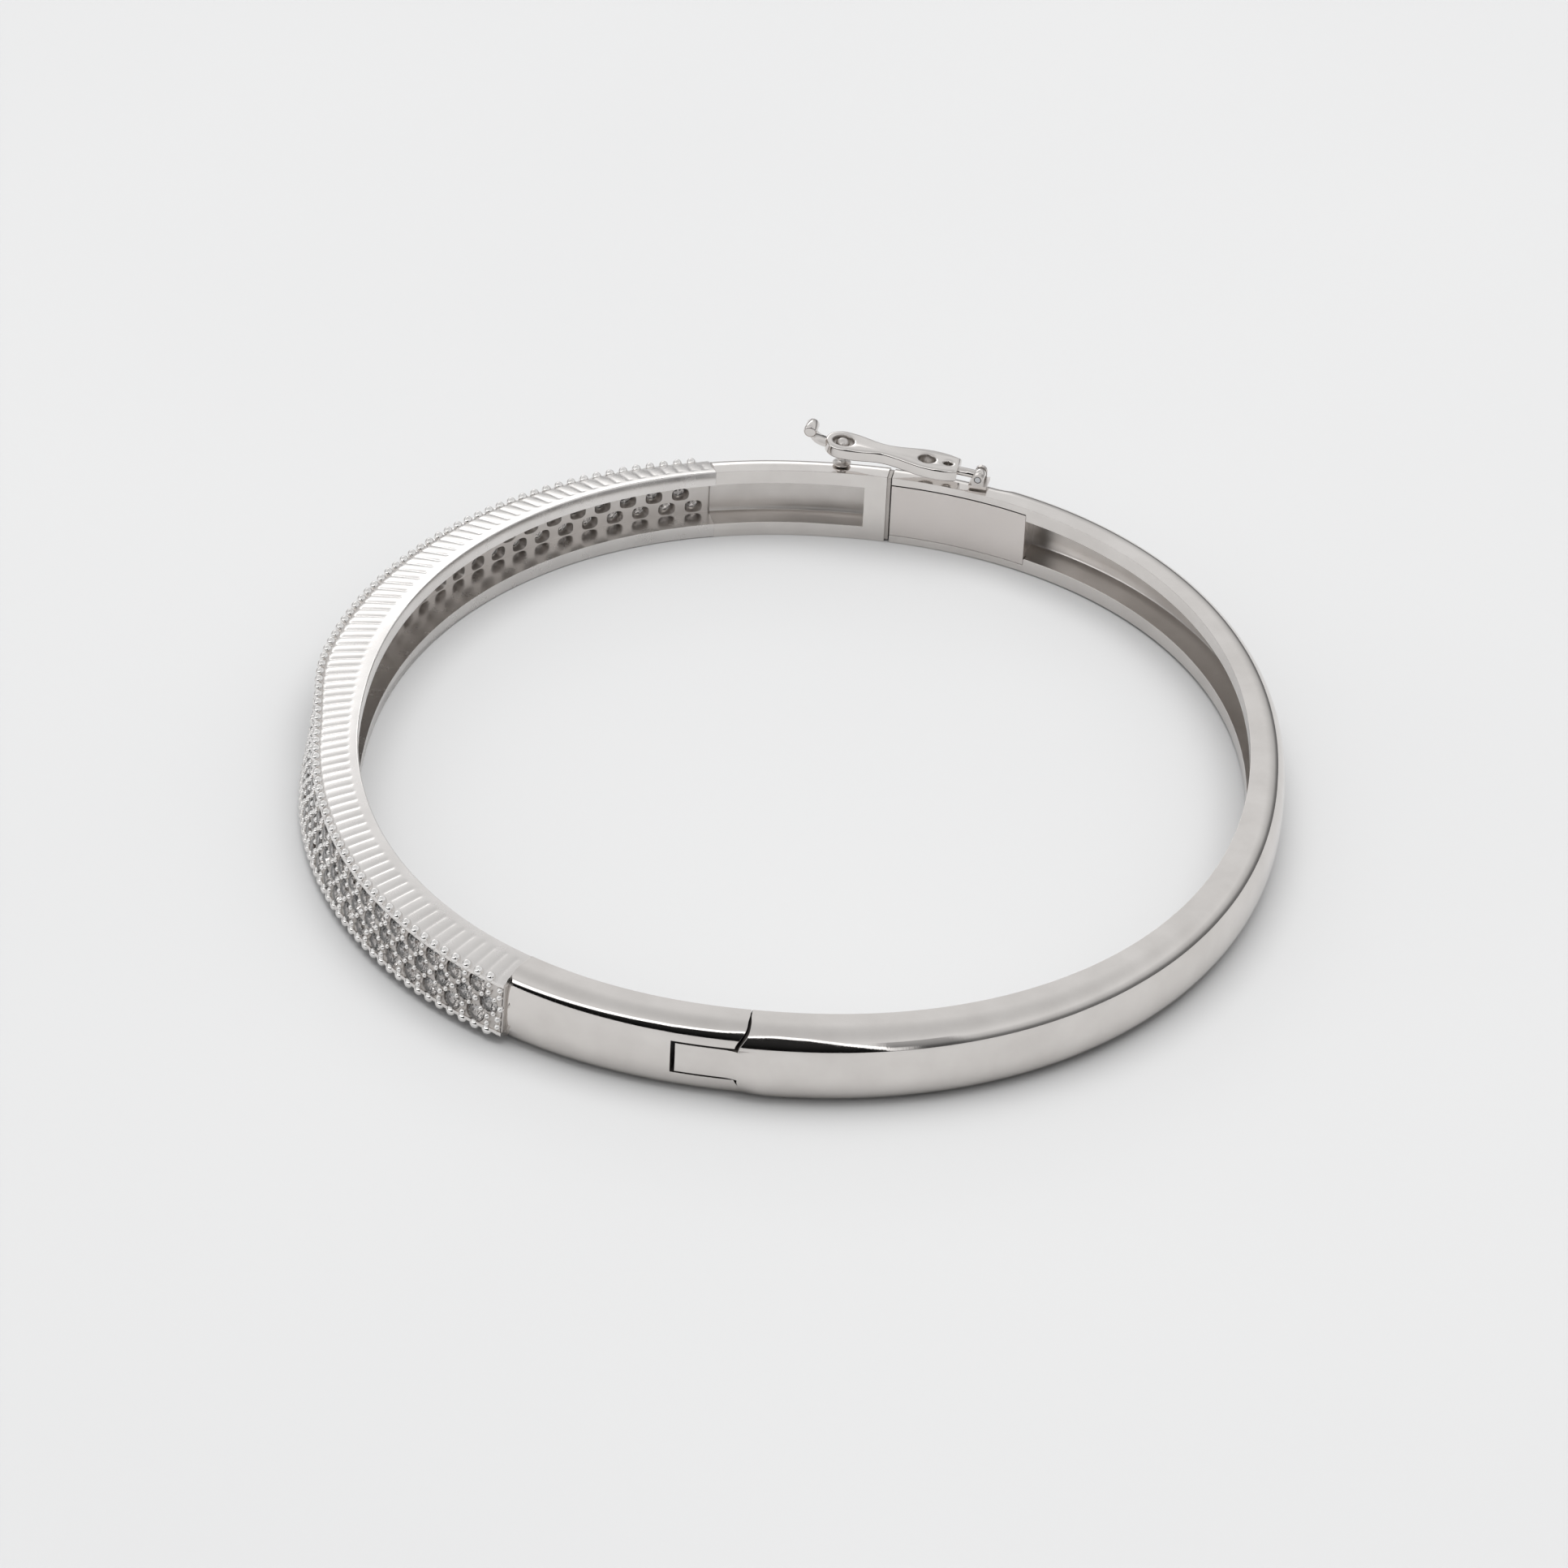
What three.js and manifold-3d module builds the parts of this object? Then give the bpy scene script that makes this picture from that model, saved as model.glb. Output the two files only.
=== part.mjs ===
// A hinged bangle: a pave-set front half, a plain domed back half, a box clasp and a figure-eight catch.
// Millimetres, +Z up. The bangle lies on its edge on z = 0, the hinge towards -Y and the clasp towards +Y.
// A place on the band is a station, the distance in mm along the inner oval from its +Y end, which grows
// counter-clockwise seen from above, a distance outward from the inner face, and a height above the base.

import * as THREE from 'three';
import { mergeVertices } from 'three/addons/utils/BufferGeometryUtils.js';
import Module from 'manifold-3d';

const wasm = await Module();
wasm.setup();

// ---- Driving dimensions ----

const INNER_WIDTH = 50.6;
const INNER_LENGTH = 58;
const OVAL_POWER = 2.13;
const BAND_HEIGHT = 4.5;
const MID_HEIGHT = BAND_HEIGHT / 2;

const FRONT_THICKNESS = { ends: 2.1, middle: 2.95 };
const BACK_THICKNESS = { ends: 2.45, middle: 2.1 };
const BACK_HEIGHT_LOSS = 0.5;
const BACK_SHOULDER = { hinge: 1.2, claspFrom: 9.8, claspTo: 9.0 };
const SECTION_FLAT = 0.3;
const FRONT_ROUNDNESS = 3.2;
const BACK_ROUNDNESS = { ends: 2.9, middle: 2.5 };

const CLASP_GAP = 0.3;
const HINGE_GAP = 0.22;
const CLASP_SEAM = -2.6;
const HINGE_SEAM_OFFSET = 0.6;

const LIP = 0.9;
const CHANNEL_WALL = { front: 0.65, back: 0.55 };
const END_WALL = 1.35;
const HINGE_BLOCK = 7;

const PAVE = { proud: 0.35, outerHalf: 1.75, fromClasp: 7.95, fromHinge: 13.3 };
const POCKET = { rim: 0.3, half: 1.53, depth: 0.55 };
const FRONT_LEAN = { most: 0.8, from: 5, to: 4 };
const STONE = { columns: 41, radius: 0.57, crown: 0.2, pavilion: 0.3, table: 0.33, rowStep: 0.9 };
const SEAT = { half: 0.2, reach: 1.1, top: 0.03, thickness: 0.12 };

const HINGE = { fromSeam: 1.8, out: 1.3, tail: 1.7, knuckleHalf: 0.9, sideGap: 0.1, endGap: 0.2 };
const PIN = { radius: 0.45, bore: 0.5, foot: 0.45, top: 3.9, boreTop: 3.95 };

const BOX = { length: 7.6, half: 1.35, wall: 0.45, mouth: 0.75, lipOut: 1.3 };
const PLATE = { length: 8.78, thickness: 0.35, rebate: 0.4, edge: 0.1 };
const CHANNEL_AFTER_BOX = 8.4;
const TONGUE = { half: 1.1, length: 6.2, root: 1.1, sheet: 0.25, low: 0.6, drift: 0.35, free: 1.25 };
const TONGUE_SHOULDER = 0.95;
const THUMB = { half: 0.45, from: 0.2, to: 0.75, top: 2.7, clearance: 0.1 };

const CATCH = { pivot: -7.8, post: 0.4, pivotHeight: 5.18, tilt: 4.5, thickness: 0.8, lobe: 1.1, eye: 0.62 };
const BARREL = { radius: 0.36, width: 0.6 };
const CATCH_PIN = { radius: 0.18, bore: 0.23, half: 0.65 };
const LUG = { half: 0.55, ear: 0.25, base: 0.18, drop: 0.6 };
const POST = { foot: 0.55, stem: 0.3, ball: 0.42, ballHeight: 5.9 };

const SMALL_GAP = 0.05;
const CUT_PAST = 0.5;

// ---- Finishes ----

const metal = (color, roughness) => new THREE.MeshStandardMaterial({ color, roughness, metalness: 1 });
const POLISHED = metal(0xd6d3cf, 0.08);
const SATIN = metal(0xc4c1bc, 0.25);
const STEEL = metal(0xb4b4b4, 0.3);
const CRYSTAL = new THREE.MeshStandardMaterial({ color: 0xdde2e6, roughness: 0.03, metalness: 0 });

// ---- The inner oval ----

const signedPower = (value, power) => Math.sign(value) * Math.abs(value) ** power;

class InnerOval extends THREE.Curve {
  getPoint(t, target = new THREE.Vector3()) {
    const angle = 2 * Math.PI * t;
    const x = signedPower(Math.cos(angle), 2 / OVAL_POWER) * INNER_WIDTH / 2;
    const y = signedPower(Math.sin(angle), 2 / OVAL_POWER) * INNER_LENGTH / 2;
    return target.set(x, y, 0);
  }
}

const oval = new InnerOval();
oval.arcLengthDivisions = 4000;
const TURN = oval.getLength();
const HINGE_SEAM = TURN / 2 - HINGE_SEAM_OFFSET;
const BACK_END = TURN + CLASP_SEAM;

function ovalPoint(station) {
  return oval.getPointAt(THREE.MathUtils.euclideanModulo(0.25 + station / TURN, 1));
}

function outward(station) {
  const at = ovalPoint(station);
  const x = signedPower(2 * at.x / INNER_WIDTH, OVAL_POWER - 1) / INNER_WIDTH;
  const y = signedPower(2 * at.y / INNER_LENGTH, OVAL_POWER - 1) / INNER_LENGTH;
  return new THREE.Vector3(x, y, 0).normalize();
}

function place(station, out, height) {
  return ovalPoint(station).addScaledVector(outward(station), out).setZ(height);
}

// How far a station is towards the oval's flat sides, from 0 at hinge and clasp to 1 at the sides.
const sideways = (station) => (2 * ovalPoint(station).x / INNER_WIDTH) ** 2;

// ---- Section sizes along the band ----

const frontThickness = (station) =>
  THREE.MathUtils.lerp(FRONT_THICKNESS.ends, FRONT_THICKNESS.middle, sideways(station));

// The front half's outer face leans back towards its top, from the oval's side on towards the hinge.
function leanBack(station) {
  const side = TURN / 4;
  const onset = THREE.MathUtils.smoothstep(station, side - FRONT_LEAN.from, side + FRONT_LEAN.to);
  return FRONT_LEAN.most * onset * sideways(station);
}

const setBack = (station, up) => leanBack(station) * (up / PAVE.outerHalf + 1) / 2;
const frontDepth = (station, up) => frontThickness(station) - setBack(station, up);

function backThickness(station) {
  const full = THREE.MathUtils.lerp(BACK_THICKNESS.ends, BACK_THICKNESS.middle, sideways(station));
  const fallFrom = TURN - BACK_SHOULDER.claspFrom;
  const fallTo = TURN - BACK_SHOULDER.claspTo;
  const rise = THREE.MathUtils.smoothstep(station, HINGE_SEAM, HINGE_SEAM + BACK_SHOULDER.hinge);
  const fall = 1 - THREE.MathUtils.smoothstep(station, fallFrom, fallTo);
  return THREE.MathUtils.lerp(FRONT_THICKNESS.ends, full, Math.min(rise, fall));
}

const backHalfHeight = (station) => (BAND_HEIGHT - BACK_HEIGHT_LOSS * sideways(station)) / 2;
const backRoundness = (station) =>
  THREE.MathUtils.lerp(BACK_ROUNDNESS.ends, BACK_ROUNDNESS.middle, sideways(station));

// ---- Solids ----

function toSolid(geometry) {
  const bare = geometry.clone();
  bare.deleteAttribute('normal');
  bare.deleteAttribute('uv');
  const merged = mergeVertices(bare, 1e-4);
  const mesh = new wasm.Mesh({
    numProp: 3,
    vertProperties: merged.attributes.position.array,
    triVerts: Uint32Array.from(merged.index.array),
  });
  return new wasm.Manifold(mesh);
}

function toGeometry(solid) {
  const mesh = solid.getMesh();
  const geometry = new THREE.BufferGeometry();
  geometry.setAttribute('position', new THREE.BufferAttribute(mesh.vertProperties, 3));
  geometry.setIndex(new THREE.BufferAttribute(mesh.triVerts, 1));
  geometry.computeVertexNormals();
  return geometry;
}

const join = (...geometries) => geometries.map(toSolid).reduce((all, next) => all.add(next));
const cut = (solid, ...geometries) =>
  geometries.map(toSolid).reduce((all, next) => all.subtract(next), solid);

// Sweeps an outline along the band: shape(x, y, station) gives a point's distance outward and its height.
function sweep(outline, from, to, steps, shape, rounds = 4) {
  const options = { depth: 1, steps, bevelEnabled: false, curveSegments: rounds };
  const bar = new THREE.ExtrudeGeometry(outline, options);
  const at = bar.attributes.position;
  for (let i = 0; i < at.count; i++) {
    const station = THREE.MathUtils.lerp(to, from, at.getZ(i));
    const [out, height] = shape(at.getX(i), at.getY(i), station);
    at.setXYZ(i, ...place(station, out, height).toArray());
  }
  return bar;
}

// A D-shaped outline, x from 0 at its flat back to 1, y from -1 to 1.
function domeOutline() {
  const outline = new THREE.Shape();
  outline.moveTo(0, -1);
  outline.lineTo(SECTION_FLAT, -1);
  outline.absellipse(SECTION_FLAT, 0, 1 - SECTION_FLAT, 1, -Math.PI / 2, Math.PI / 2);
  outline.lineTo(0, 1);
  return outline;
}

function squareOutline() {
  const outline = new THREE.Shape();
  outline.moveTo(0, -1);
  outline.lineTo(1, -1);
  outline.lineTo(1, 1);
  outline.lineTo(0, 1);
  return outline;
}

// Swells the dome outline's round towards a rectangle: power 2 keeps the ellipse, more makes it squarer.
function swell(x, y, power) {
  const round = Math.max(0, (x - SECTION_FLAT) / (1 - SECTION_FLAT));
  const across = x > SECTION_FLAT ? SECTION_FLAT + (1 - SECTION_FLAT) * round ** (2 / power) : x;
  return [across, signedPower(y, 2 / power)];
}

function frontShape(x, y, station) {
  const [across, up] = swell(x, y, FRONT_ROUNDNESS);
  return [across * frontDepth(station, up * MID_HEIGHT), MID_HEIGHT + up * MID_HEIGHT];
}

function backShape(x, y, station) {
  const [across, up] = swell(x, y, backRoundness(station));
  return [across * backThickness(station), MID_HEIGHT + up * backHalfHeight(station)];
}

// The hollow inside a half: open at the inner face, with a lip left above and below.
function channelShape(thickness, halfHeight, wall) {
  return (x, y, station) => {
    const [across, up] = swell(x, y, FRONT_ROUNDNESS);
    const rise = up * (halfHeight(station) - LIP);
    const out = THREE.MathUtils.lerp(-CUT_PAST, thickness(station, rise) - wall, across);
    return [out, MID_HEIGHT + rise];
  };
}

// A plain bar along the band, between two distances outward that may change with the station and height.
function bar(from, to, steps, low, high, half) {
  const lowAt = typeof low === 'function' ? low : () => low;
  const highAt = typeof high === 'function' ? high : () => high;
  const shape = (x, y, station) => {
    const up = y * half;
    return [THREE.MathUtils.lerp(lowAt(station, up), highAt(station, up), x), MID_HEIGHT + up];
  };
  return sweep(squareOutline(), from, to, steps, shape);
}

function upright(radius, low, high, centre, sides) {
  const post = new THREE.CylinderGeometry(radius, radius, high - low, sides);
  post.rotateX(Math.PI / 2);
  return post.translate(centre.x, centre.y, (low + high) / 2);
}

// ---- Front half ----

const HINGE_STATION = HINGE_SEAM - HINGE.fromSeam;
const hingeCentre = place(HINGE_STATION, HINGE.out, MID_HEIGHT);
const TAIL_RADIUS = Math.hypot(HINGE.tail, FRONT_THICKNESS.ends - HINGE.out);
const PAVE_FROM = PAVE.fromClasp;
const PAVE_TO = TURN / 2 - PAVE.fromHinge;
const paveOut = (station, up) => frontDepth(station, up) + PAVE.proud;

function paveBlock() {
  const shape = (x, y, station) => {
    const half = THREE.MathUtils.lerp(MID_HEIGHT, PAVE.outerHalf, x);
    return [x * paveOut(station, y * half), MID_HEIGHT + y * half];
  };
  return sweep(squareOutline(), PAVE_FROM, PAVE_TO, 44, shape);
}

function pavePocket() {
  const floor = (station, up) => paveOut(station, up) - POCKET.depth;
  const beyond = (station, up) => paveOut(station, up) + CUT_PAST;
  return bar(PAVE_FROM + POCKET.rim, PAVE_TO - POCKET.rim, 44, floor, beyond, POCKET.half);
}

// The knuckle turns in this slot: a round end about the pin, then straight through to the seam.
function hingeSlot() {
  const half = HINGE.knuckleHalf + HINGE.sideGap;
  const swing = upright(TAIL_RADIUS + HINGE.endGap, MID_HEIGHT - half, MID_HEIGHT + half, hingeCentre, 32);
  const beyond = FRONT_THICKNESS.ends + CUT_PAST;
  const opening = bar(HINGE_STATION, HINGE_SEAM + CUT_PAST, 2, -CUT_PAST, beyond, half);
  return [swing, opening];
}

// Drilled from below and stopped short of the top face.
const pinBore = () => upright(PIN.bore, -1, PIN.boreTop, hingeCentre, 16);

function tongueSocket() {
  const from = CLASP_SEAM - CUT_PAST;
  const to = CLASP_SEAM + TONGUE.root + SMALL_GAP;
  const high = TONGUE.low + TONGUE.sheet + 2 * SMALL_GAP;
  return bar(from, to, 1, TONGUE.low - 2 * SMALL_GAP, high, TONGUE.half + 2 * SMALL_GAP);
}

function frontBand() {
  const start = CLASP_SEAM + CLASP_GAP / 2;
  const body = sweep(domeOutline(), start, HINGE_SEAM - HINGE_GAP / 2, 54, frontShape, 5);
  const hollow = channelShape(frontDepth, () => MID_HEIGHT, CHANNEL_WALL.front);
  const channel = sweep(domeOutline(), start + END_WALL, HINGE_SEAM - HINGE_BLOCK, 46, hollow, 2);
  return cut(join(body, paveBlock()), channel, pavePocket(), ...hingeSlot(), pinBore(), tongueSocket());
}

// ---- Stones: three in a column, top and bottom in line and the middle one half a pitch on ----

const STONE_RUN = PAVE_TO - PAVE_FROM - 2 * (POCKET.rim + STONE.radius + SMALL_GAP);
const STONE_PITCH = STONE_RUN / (STONE.columns - 0.5);

// Its y axis looks squarely out of the leaning face, and its origin is one crown below the face.
function stoneFrame(station, up) {
  const lean = Math.atan(leanBack(station) / (2 * PAVE.outerHalf));
  const out = outward(station);
  const along = new THREE.Vector3(0, 0, 1).cross(out);
  const face = out.clone().multiplyScalar(Math.cos(lean)).setZ(Math.sin(lean));
  const frame = new THREE.Matrix4().makeBasis(along, face, along.clone().cross(face));
  const surface = place(station, paveOut(station, up), MID_HEIGHT + up);
  return frame.setPosition(surface.addScaledVector(face, -STONE.crown));
}

function stone(station, up) {
  const profile = [
    new THREE.Vector2(0, -STONE.pavilion),
    new THREE.Vector2(STONE.radius, 0),
    new THREE.Vector2(STONE.table, STONE.crown),
    new THREE.Vector2(0, STONE.crown),
  ];
  return new THREE.LatheGeometry(profile, 6).applyMatrix4(stoneFrame(station, up));
}

// The thin chevron that ties the three stones of a column together behind their girdles.
function stoneSeat(station) {
  const outline = new THREE.Shape();
  const step = STONE_PITCH / 2;
  outline.moveTo(-SEAT.half, -SEAT.reach);
  outline.lineTo(SEAT.half, -SEAT.reach);
  outline.lineTo(step + SEAT.half, 0);
  outline.lineTo(SEAT.half, SEAT.reach);
  outline.lineTo(-SEAT.half, SEAT.reach);
  outline.lineTo(step - SEAT.half, 0);
  outline.closePath();
  const seat = new THREE.ExtrudeGeometry(outline, { depth: SEAT.thickness, bevelEnabled: false });
  seat.rotateX(Math.PI / 2).translate(0, -SEAT.top, 0);
  return seat.applyMatrix4(stoneFrame(station, 0));
}

function stoneColumn(index) {
  const station = PAVE_FROM + POCKET.rim + STONE.radius + SMALL_GAP + index * STONE_PITCH;
  const top = stone(station, STONE.rowStep);
  const middle = stone(station + STONE_PITCH / 2, 0);
  const bottom = stone(station, -STONE.rowStep);
  return join(stoneSeat(station), top, middle, bottom);
}

// ---- Back half ----

const fromSeam = (distance) => BACK_END - distance;

function knuckle() {
  const tail = sweep(domeOutline(), HINGE_STATION - HINGE.tail, HINGE_STATION + SMALL_GAP, 3, frontShape, 5);
  const turned = upright(TAIL_RADIUS, 0, BAND_HEIGHT, hingeCentre, 32);
  const root = sweep(domeOutline(), HINGE_STATION, HINGE_SEAM + 1, 3, frontShape, 5);
  const slab = new THREE.BoxGeometry(INNER_WIDTH, INNER_LENGTH, 2 * HINGE.knuckleHalf);
  slab.translate(hingeCentre.x, hingeCentre.y, MID_HEIGHT);
  return toSolid(tail).intersect(toSolid(turned)).add(toSolid(root)).intersect(toSolid(slab));
}

function boxHollow() {
  const floor = PLATE.rebate / 2;
  const seam = fromSeam(-CUT_PAST);
  const cavityTop = FRONT_THICKNESS.ends - BOX.wall;
  const notchFrom = fromSeam(TONGUE_SHOULDER + SMALL_GAP);
  const notchLow = BOX.lipOut - THUMB.clearance;
  const notchHigh = FRONT_THICKNESS.ends + CUT_PAST;
  const mouth = bar(fromSeam(BOX.mouth), seam, 1, floor, BOX.lipOut, BOX.half);
  const cavity = bar(fromSeam(BOX.length), fromSeam(BOX.mouth - SMALL_GAP), 5, floor, cavityTop, BOX.half);
  const notch = bar(notchFrom, seam, 1, notchLow, notchHigh, THUMB.half + THUMB.clearance);
  const rebate = bar(fromSeam(PLATE.length), seam, 6, -CUT_PAST, PLATE.rebate, BOX.half + PLATE.rebate);
  return [mouth, cavity, notch, rebate];
}

function backBand() {
  const body = sweep(domeOutline(), HINGE_SEAM + HINGE_GAP / 2, fromSeam(CLASP_GAP / 2), 60, backShape, 5);
  const hollow = channelShape(backThickness, backHalfHeight, CHANNEL_WALL.back);
  const channel = sweep(domeOutline(), HINGE_SEAM + HINGE_BLOCK, fromSeam(CHANNEL_AFTER_BOX), 46, hollow, 2);
  return cut(cut(toSolid(body), channel, ...boxHollow()).add(knuckle()), pinBore());
}

function coverPlate() {
  const half = BOX.half + PLATE.rebate - PLATE.edge;
  return bar(fromSeam(PLATE.length - PLATE.edge), fromSeam(CLASP_GAP / 2), 6, 0, PLATE.thickness, half);
}

const hingePin = () => upright(PIN.radius, PIN.foot, PIN.top, hingeCentre, 16);

// ---- V-spring tongue: a fixed sheet, and a sheet folded back over it that carries the thumb piece ----

// Both leaves drift outward towards the nose, so that the tongue leaves the box along the arc that it swings.
const FOLD = TONGUE.low + TONGUE.drift + TONGUE.sheet + 2 * SMALL_GAP;
const tongueReach = (station) =>
  THREE.MathUtils.clamp(fromSeam(0) - station, 0, TONGUE.length) / TONGUE.length;
const fixedLow = (station) => TONGUE.low + TONGUE.drift * tongueReach(station);
const springLow = (station) => THREE.MathUtils.lerp(TONGUE.free, FOLD, tongueReach(station));

function tongueSheet() {
  const high = (station) => fixedLow(station) + TONGUE.sheet;
  return bar(fromSeam(TONGUE.length), fromSeam(-TONGUE.root), 6, fixedLow, high, TONGUE.half);
}

function springSheet() {
  const high = (station) => springLow(station) + TONGUE.sheet;
  const leaf = bar(fromSeam(TONGUE.length), fromSeam(TONGUE_SHOULDER), 5, springLow, high, TONGUE.half);
  const neck = bar(fromSeam(TONGUE_SHOULDER + 0.3), fromSeam(THUMB.from), 2, springLow, high, THUMB.half);
  return join(leaf, neck);
}

function thumbPiece() {
  const foot = TONGUE.free + TONGUE.sheet + SMALL_GAP;
  return bar(fromSeam(THUMB.to), fromSeam(THUMB.from), 1, foot, THUMB.top, THUMB.half);
}

// ---- Figure-eight safety catch, in its own frame: origin on the pivot, x towards the bead post, z up ----

const pivotPoint = place(CATCH.pivot, FRONT_THICKNESS.ends / 2, CATCH.pivotHeight);
const postPoint = place(CATCH.post, FRONT_THICKNESS.ends / 2, CATCH.pivotHeight);
const REACH = pivotPoint.distanceTo(postPoint);

function eightOutline() {
  const outline = new THREE.Shape();
  const waist = REACH * 0.7;
  const lobe = CATCH.lobe;
  outline.moveTo(1.3, -0.85);
  outline.quadraticCurveTo(2.8, -1.25, 4.3, -0.9);
  outline.bezierCurveTo(4.9, -0.75, waist - 0.5, -0.6, waist, -0.62);
  outline.bezierCurveTo(waist + 0.8, -0.65, REACH - 1.1, -lobe, REACH, -lobe);
  outline.absarc(REACH, 0, lobe, -Math.PI / 2, Math.PI / 2);
  outline.bezierCurveTo(REACH - 1.1, lobe, waist + 0.8, 0.65, waist, 0.62);
  outline.bezierCurveTo(waist - 0.5, 0.6, 4.9, 0.75, 4.3, 0.9);
  outline.quadraticCurveTo(2.8, 1.25, 1.3, 0.85);
  outline.closePath();
  const eyes = [[REACH, CATCH.eye], [3.3, 0.48], [2, 0.26]];
  outline.holes = eyes.map(([x, radius]) => new THREE.Path().absarc(x, 0, radius, 0, 2 * Math.PI, true));
  return outline;
}

function eightPlate() {
  const options = { depth: CATCH.thickness, bevelEnabled: false, curveSegments: 6 };
  return new THREE.ExtrudeGeometry(eightOutline(), options).translate(0, 0, -CATCH.thickness / 2);
}

function acrossCylinder(radius, width, x, z, sides) {
  return new THREE.CylinderGeometry(radius, radius, width, sides).translate(x, 0, z);
}

function fingerTab() {
  const end = REACH + CATCH.lobe;
  const profile = new THREE.Shape();
  profile.moveTo(end - 0.3, -0.3);
  profile.quadraticCurveTo(end + 0.75, -0.3, end + 1.1, 0.55);
  profile.lineTo(end + 0.65, 0.7);
  profile.quadraticCurveTo(end + 0.4, 0.2, end - 0.3, 0.25);
  profile.closePath();
  const strip = new THREE.ExtrudeGeometry(profile, { depth: 0.9, bevelEnabled: false, curveSegments: 5 });
  return strip.rotateX(Math.PI / 2).translate(0, 0.45, 0);
}

function safetyCatch() {
  const barrel = acrossCylinder(BARREL.radius, BARREL.width, 0, 0, 12);
  const arm = new THREE.BoxGeometry(1.3, BARREL.width, 0.5).translate(0.85, 0, 0);
  const roll = acrossCylinder(0.42, 1.1, REACH + CATCH.lobe + 0.95, 0.72, 12);
  const solid = join(eightPlate(), arm, barrel, fingerTab(), roll);
  return cut(solid, acrossCylinder(CATCH_PIN.bore, 3, 0, 0, 10));
}

function catchLug() {
  const width = 2 * CATCH_PIN.half;
  const base = new THREE.BoxGeometry(2 * LUG.half, width, LUG.base).translate(0, 0, LUG.base / 2 - LUG.drop);
  const web = new THREE.BoxGeometry(2 * BARREL.radius, width, LUG.drop).translate(0, 0, -LUG.drop / 2);
  const round = acrossCylinder(BARREL.radius, width, 0, 0, 12);
  const slotHalf = CATCH_PIN.half - LUG.ear;
  const slot = new THREE.BoxGeometry(4, 2 * slotHalf, 4).translate(0, 0, 2 + LUG.base - LUG.drop);
  return cut(join(base, web, round), slot, acrossCylinder(CATCH_PIN.bore, 3, 0, 0, 10));
}

const catchPin = () => acrossCylinder(CATCH_PIN.radius, 2 * CATCH_PIN.half, 0, 0, 10);

function beadPost() {
  const foot = BAND_HEIGHT + SMALL_GAP;
  const profile = [
    new THREE.Vector2(0, foot),
    new THREE.Vector2(POST.foot, foot),
    new THREE.Vector2(POST.foot, foot + 0.15),
    new THREE.Vector2(POST.stem, foot + 0.35),
  ];
  const neckAngle = Math.asin(POST.stem / POST.ball);
  for (let i = 0; i < 6; i++) {
    const angle = THREE.MathUtils.lerp(neckAngle - Math.PI, 0, i / 5);
    const radius = i === 5 ? 0 : Math.abs(POST.ball * Math.sin(angle));
    profile.push(new THREE.Vector2(radius, POST.ballHeight + POST.ball * Math.cos(angle)));
  }
  const post = new THREE.LatheGeometry(profile, 12).rotateX(Math.PI / 2);
  return post.translate(postPoint.x, postPoint.y, 0);
}

// ---- Assembly ----

const bracelet = new THREE.Group();

function add(name, shape, material, parent = bracelet) {
  const mesh = new THREE.Mesh(shape.isBufferGeometry ? shape : toGeometry(shape), material);
  mesh.name = name;
  parent.add(mesh);
}

add('front_band', frontBand(), POLISHED);
add('back_band', backBand(), POLISHED);
add('hinge_pin', hingePin(), STEEL);
add('box_cover_plate', coverPlate(), SATIN);
add('tongue_fixed_leaf', tongueSheet(), STEEL);
add('tongue_spring_leaf', springSheet(), STEEL);
add('thumb_piece', thumbPiece(), POLISHED);
add('bead_post', beadPost(), POLISHED);

const catchMount = new THREE.Group();
const towardsPost = new THREE.Vector3().subVectors(postPoint, pivotPoint).normalize();
const acrossCatch = new THREE.Vector3(0, 0, 1).cross(towardsPost);
catchMount.position.copy(pivotPoint);
catchMount.quaternion.setFromRotationMatrix(
  new THREE.Matrix4().makeBasis(towardsPost, acrossCatch, new THREE.Vector3(0, 0, 1)),
);
bracelet.add(catchMount);
add('catch_lug', catchLug(), POLISHED, catchMount);
add('catch_pin', catchPin(), STEEL, catchMount);

const liftedCatch = new THREE.Group();
liftedCatch.rotation.y = -THREE.MathUtils.degToRad(CATCH.tilt);
catchMount.add(liftedCatch);
add('figure_eight_catch', safetyCatch(), POLISHED, liftedCatch);

for (let i = 0; i < STONE.columns; i++) {
  add(`stone_column_${String(i + 1).padStart(2, '0')}`, stoneColumn(i), CRYSTAL);
}

// The origin is under the middle of the whole bangle, on the surface it lies on.
const extent = new THREE.Box3().setFromObject(bracelet);
const middle = extent.getCenter(new THREE.Vector3());
bracelet.position.set(-middle.x, -middle.y, 0);

export default bracelet;
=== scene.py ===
import math

import bmesh
import bpy
import numpy as np
from mathutils import Matrix, Vector


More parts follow.
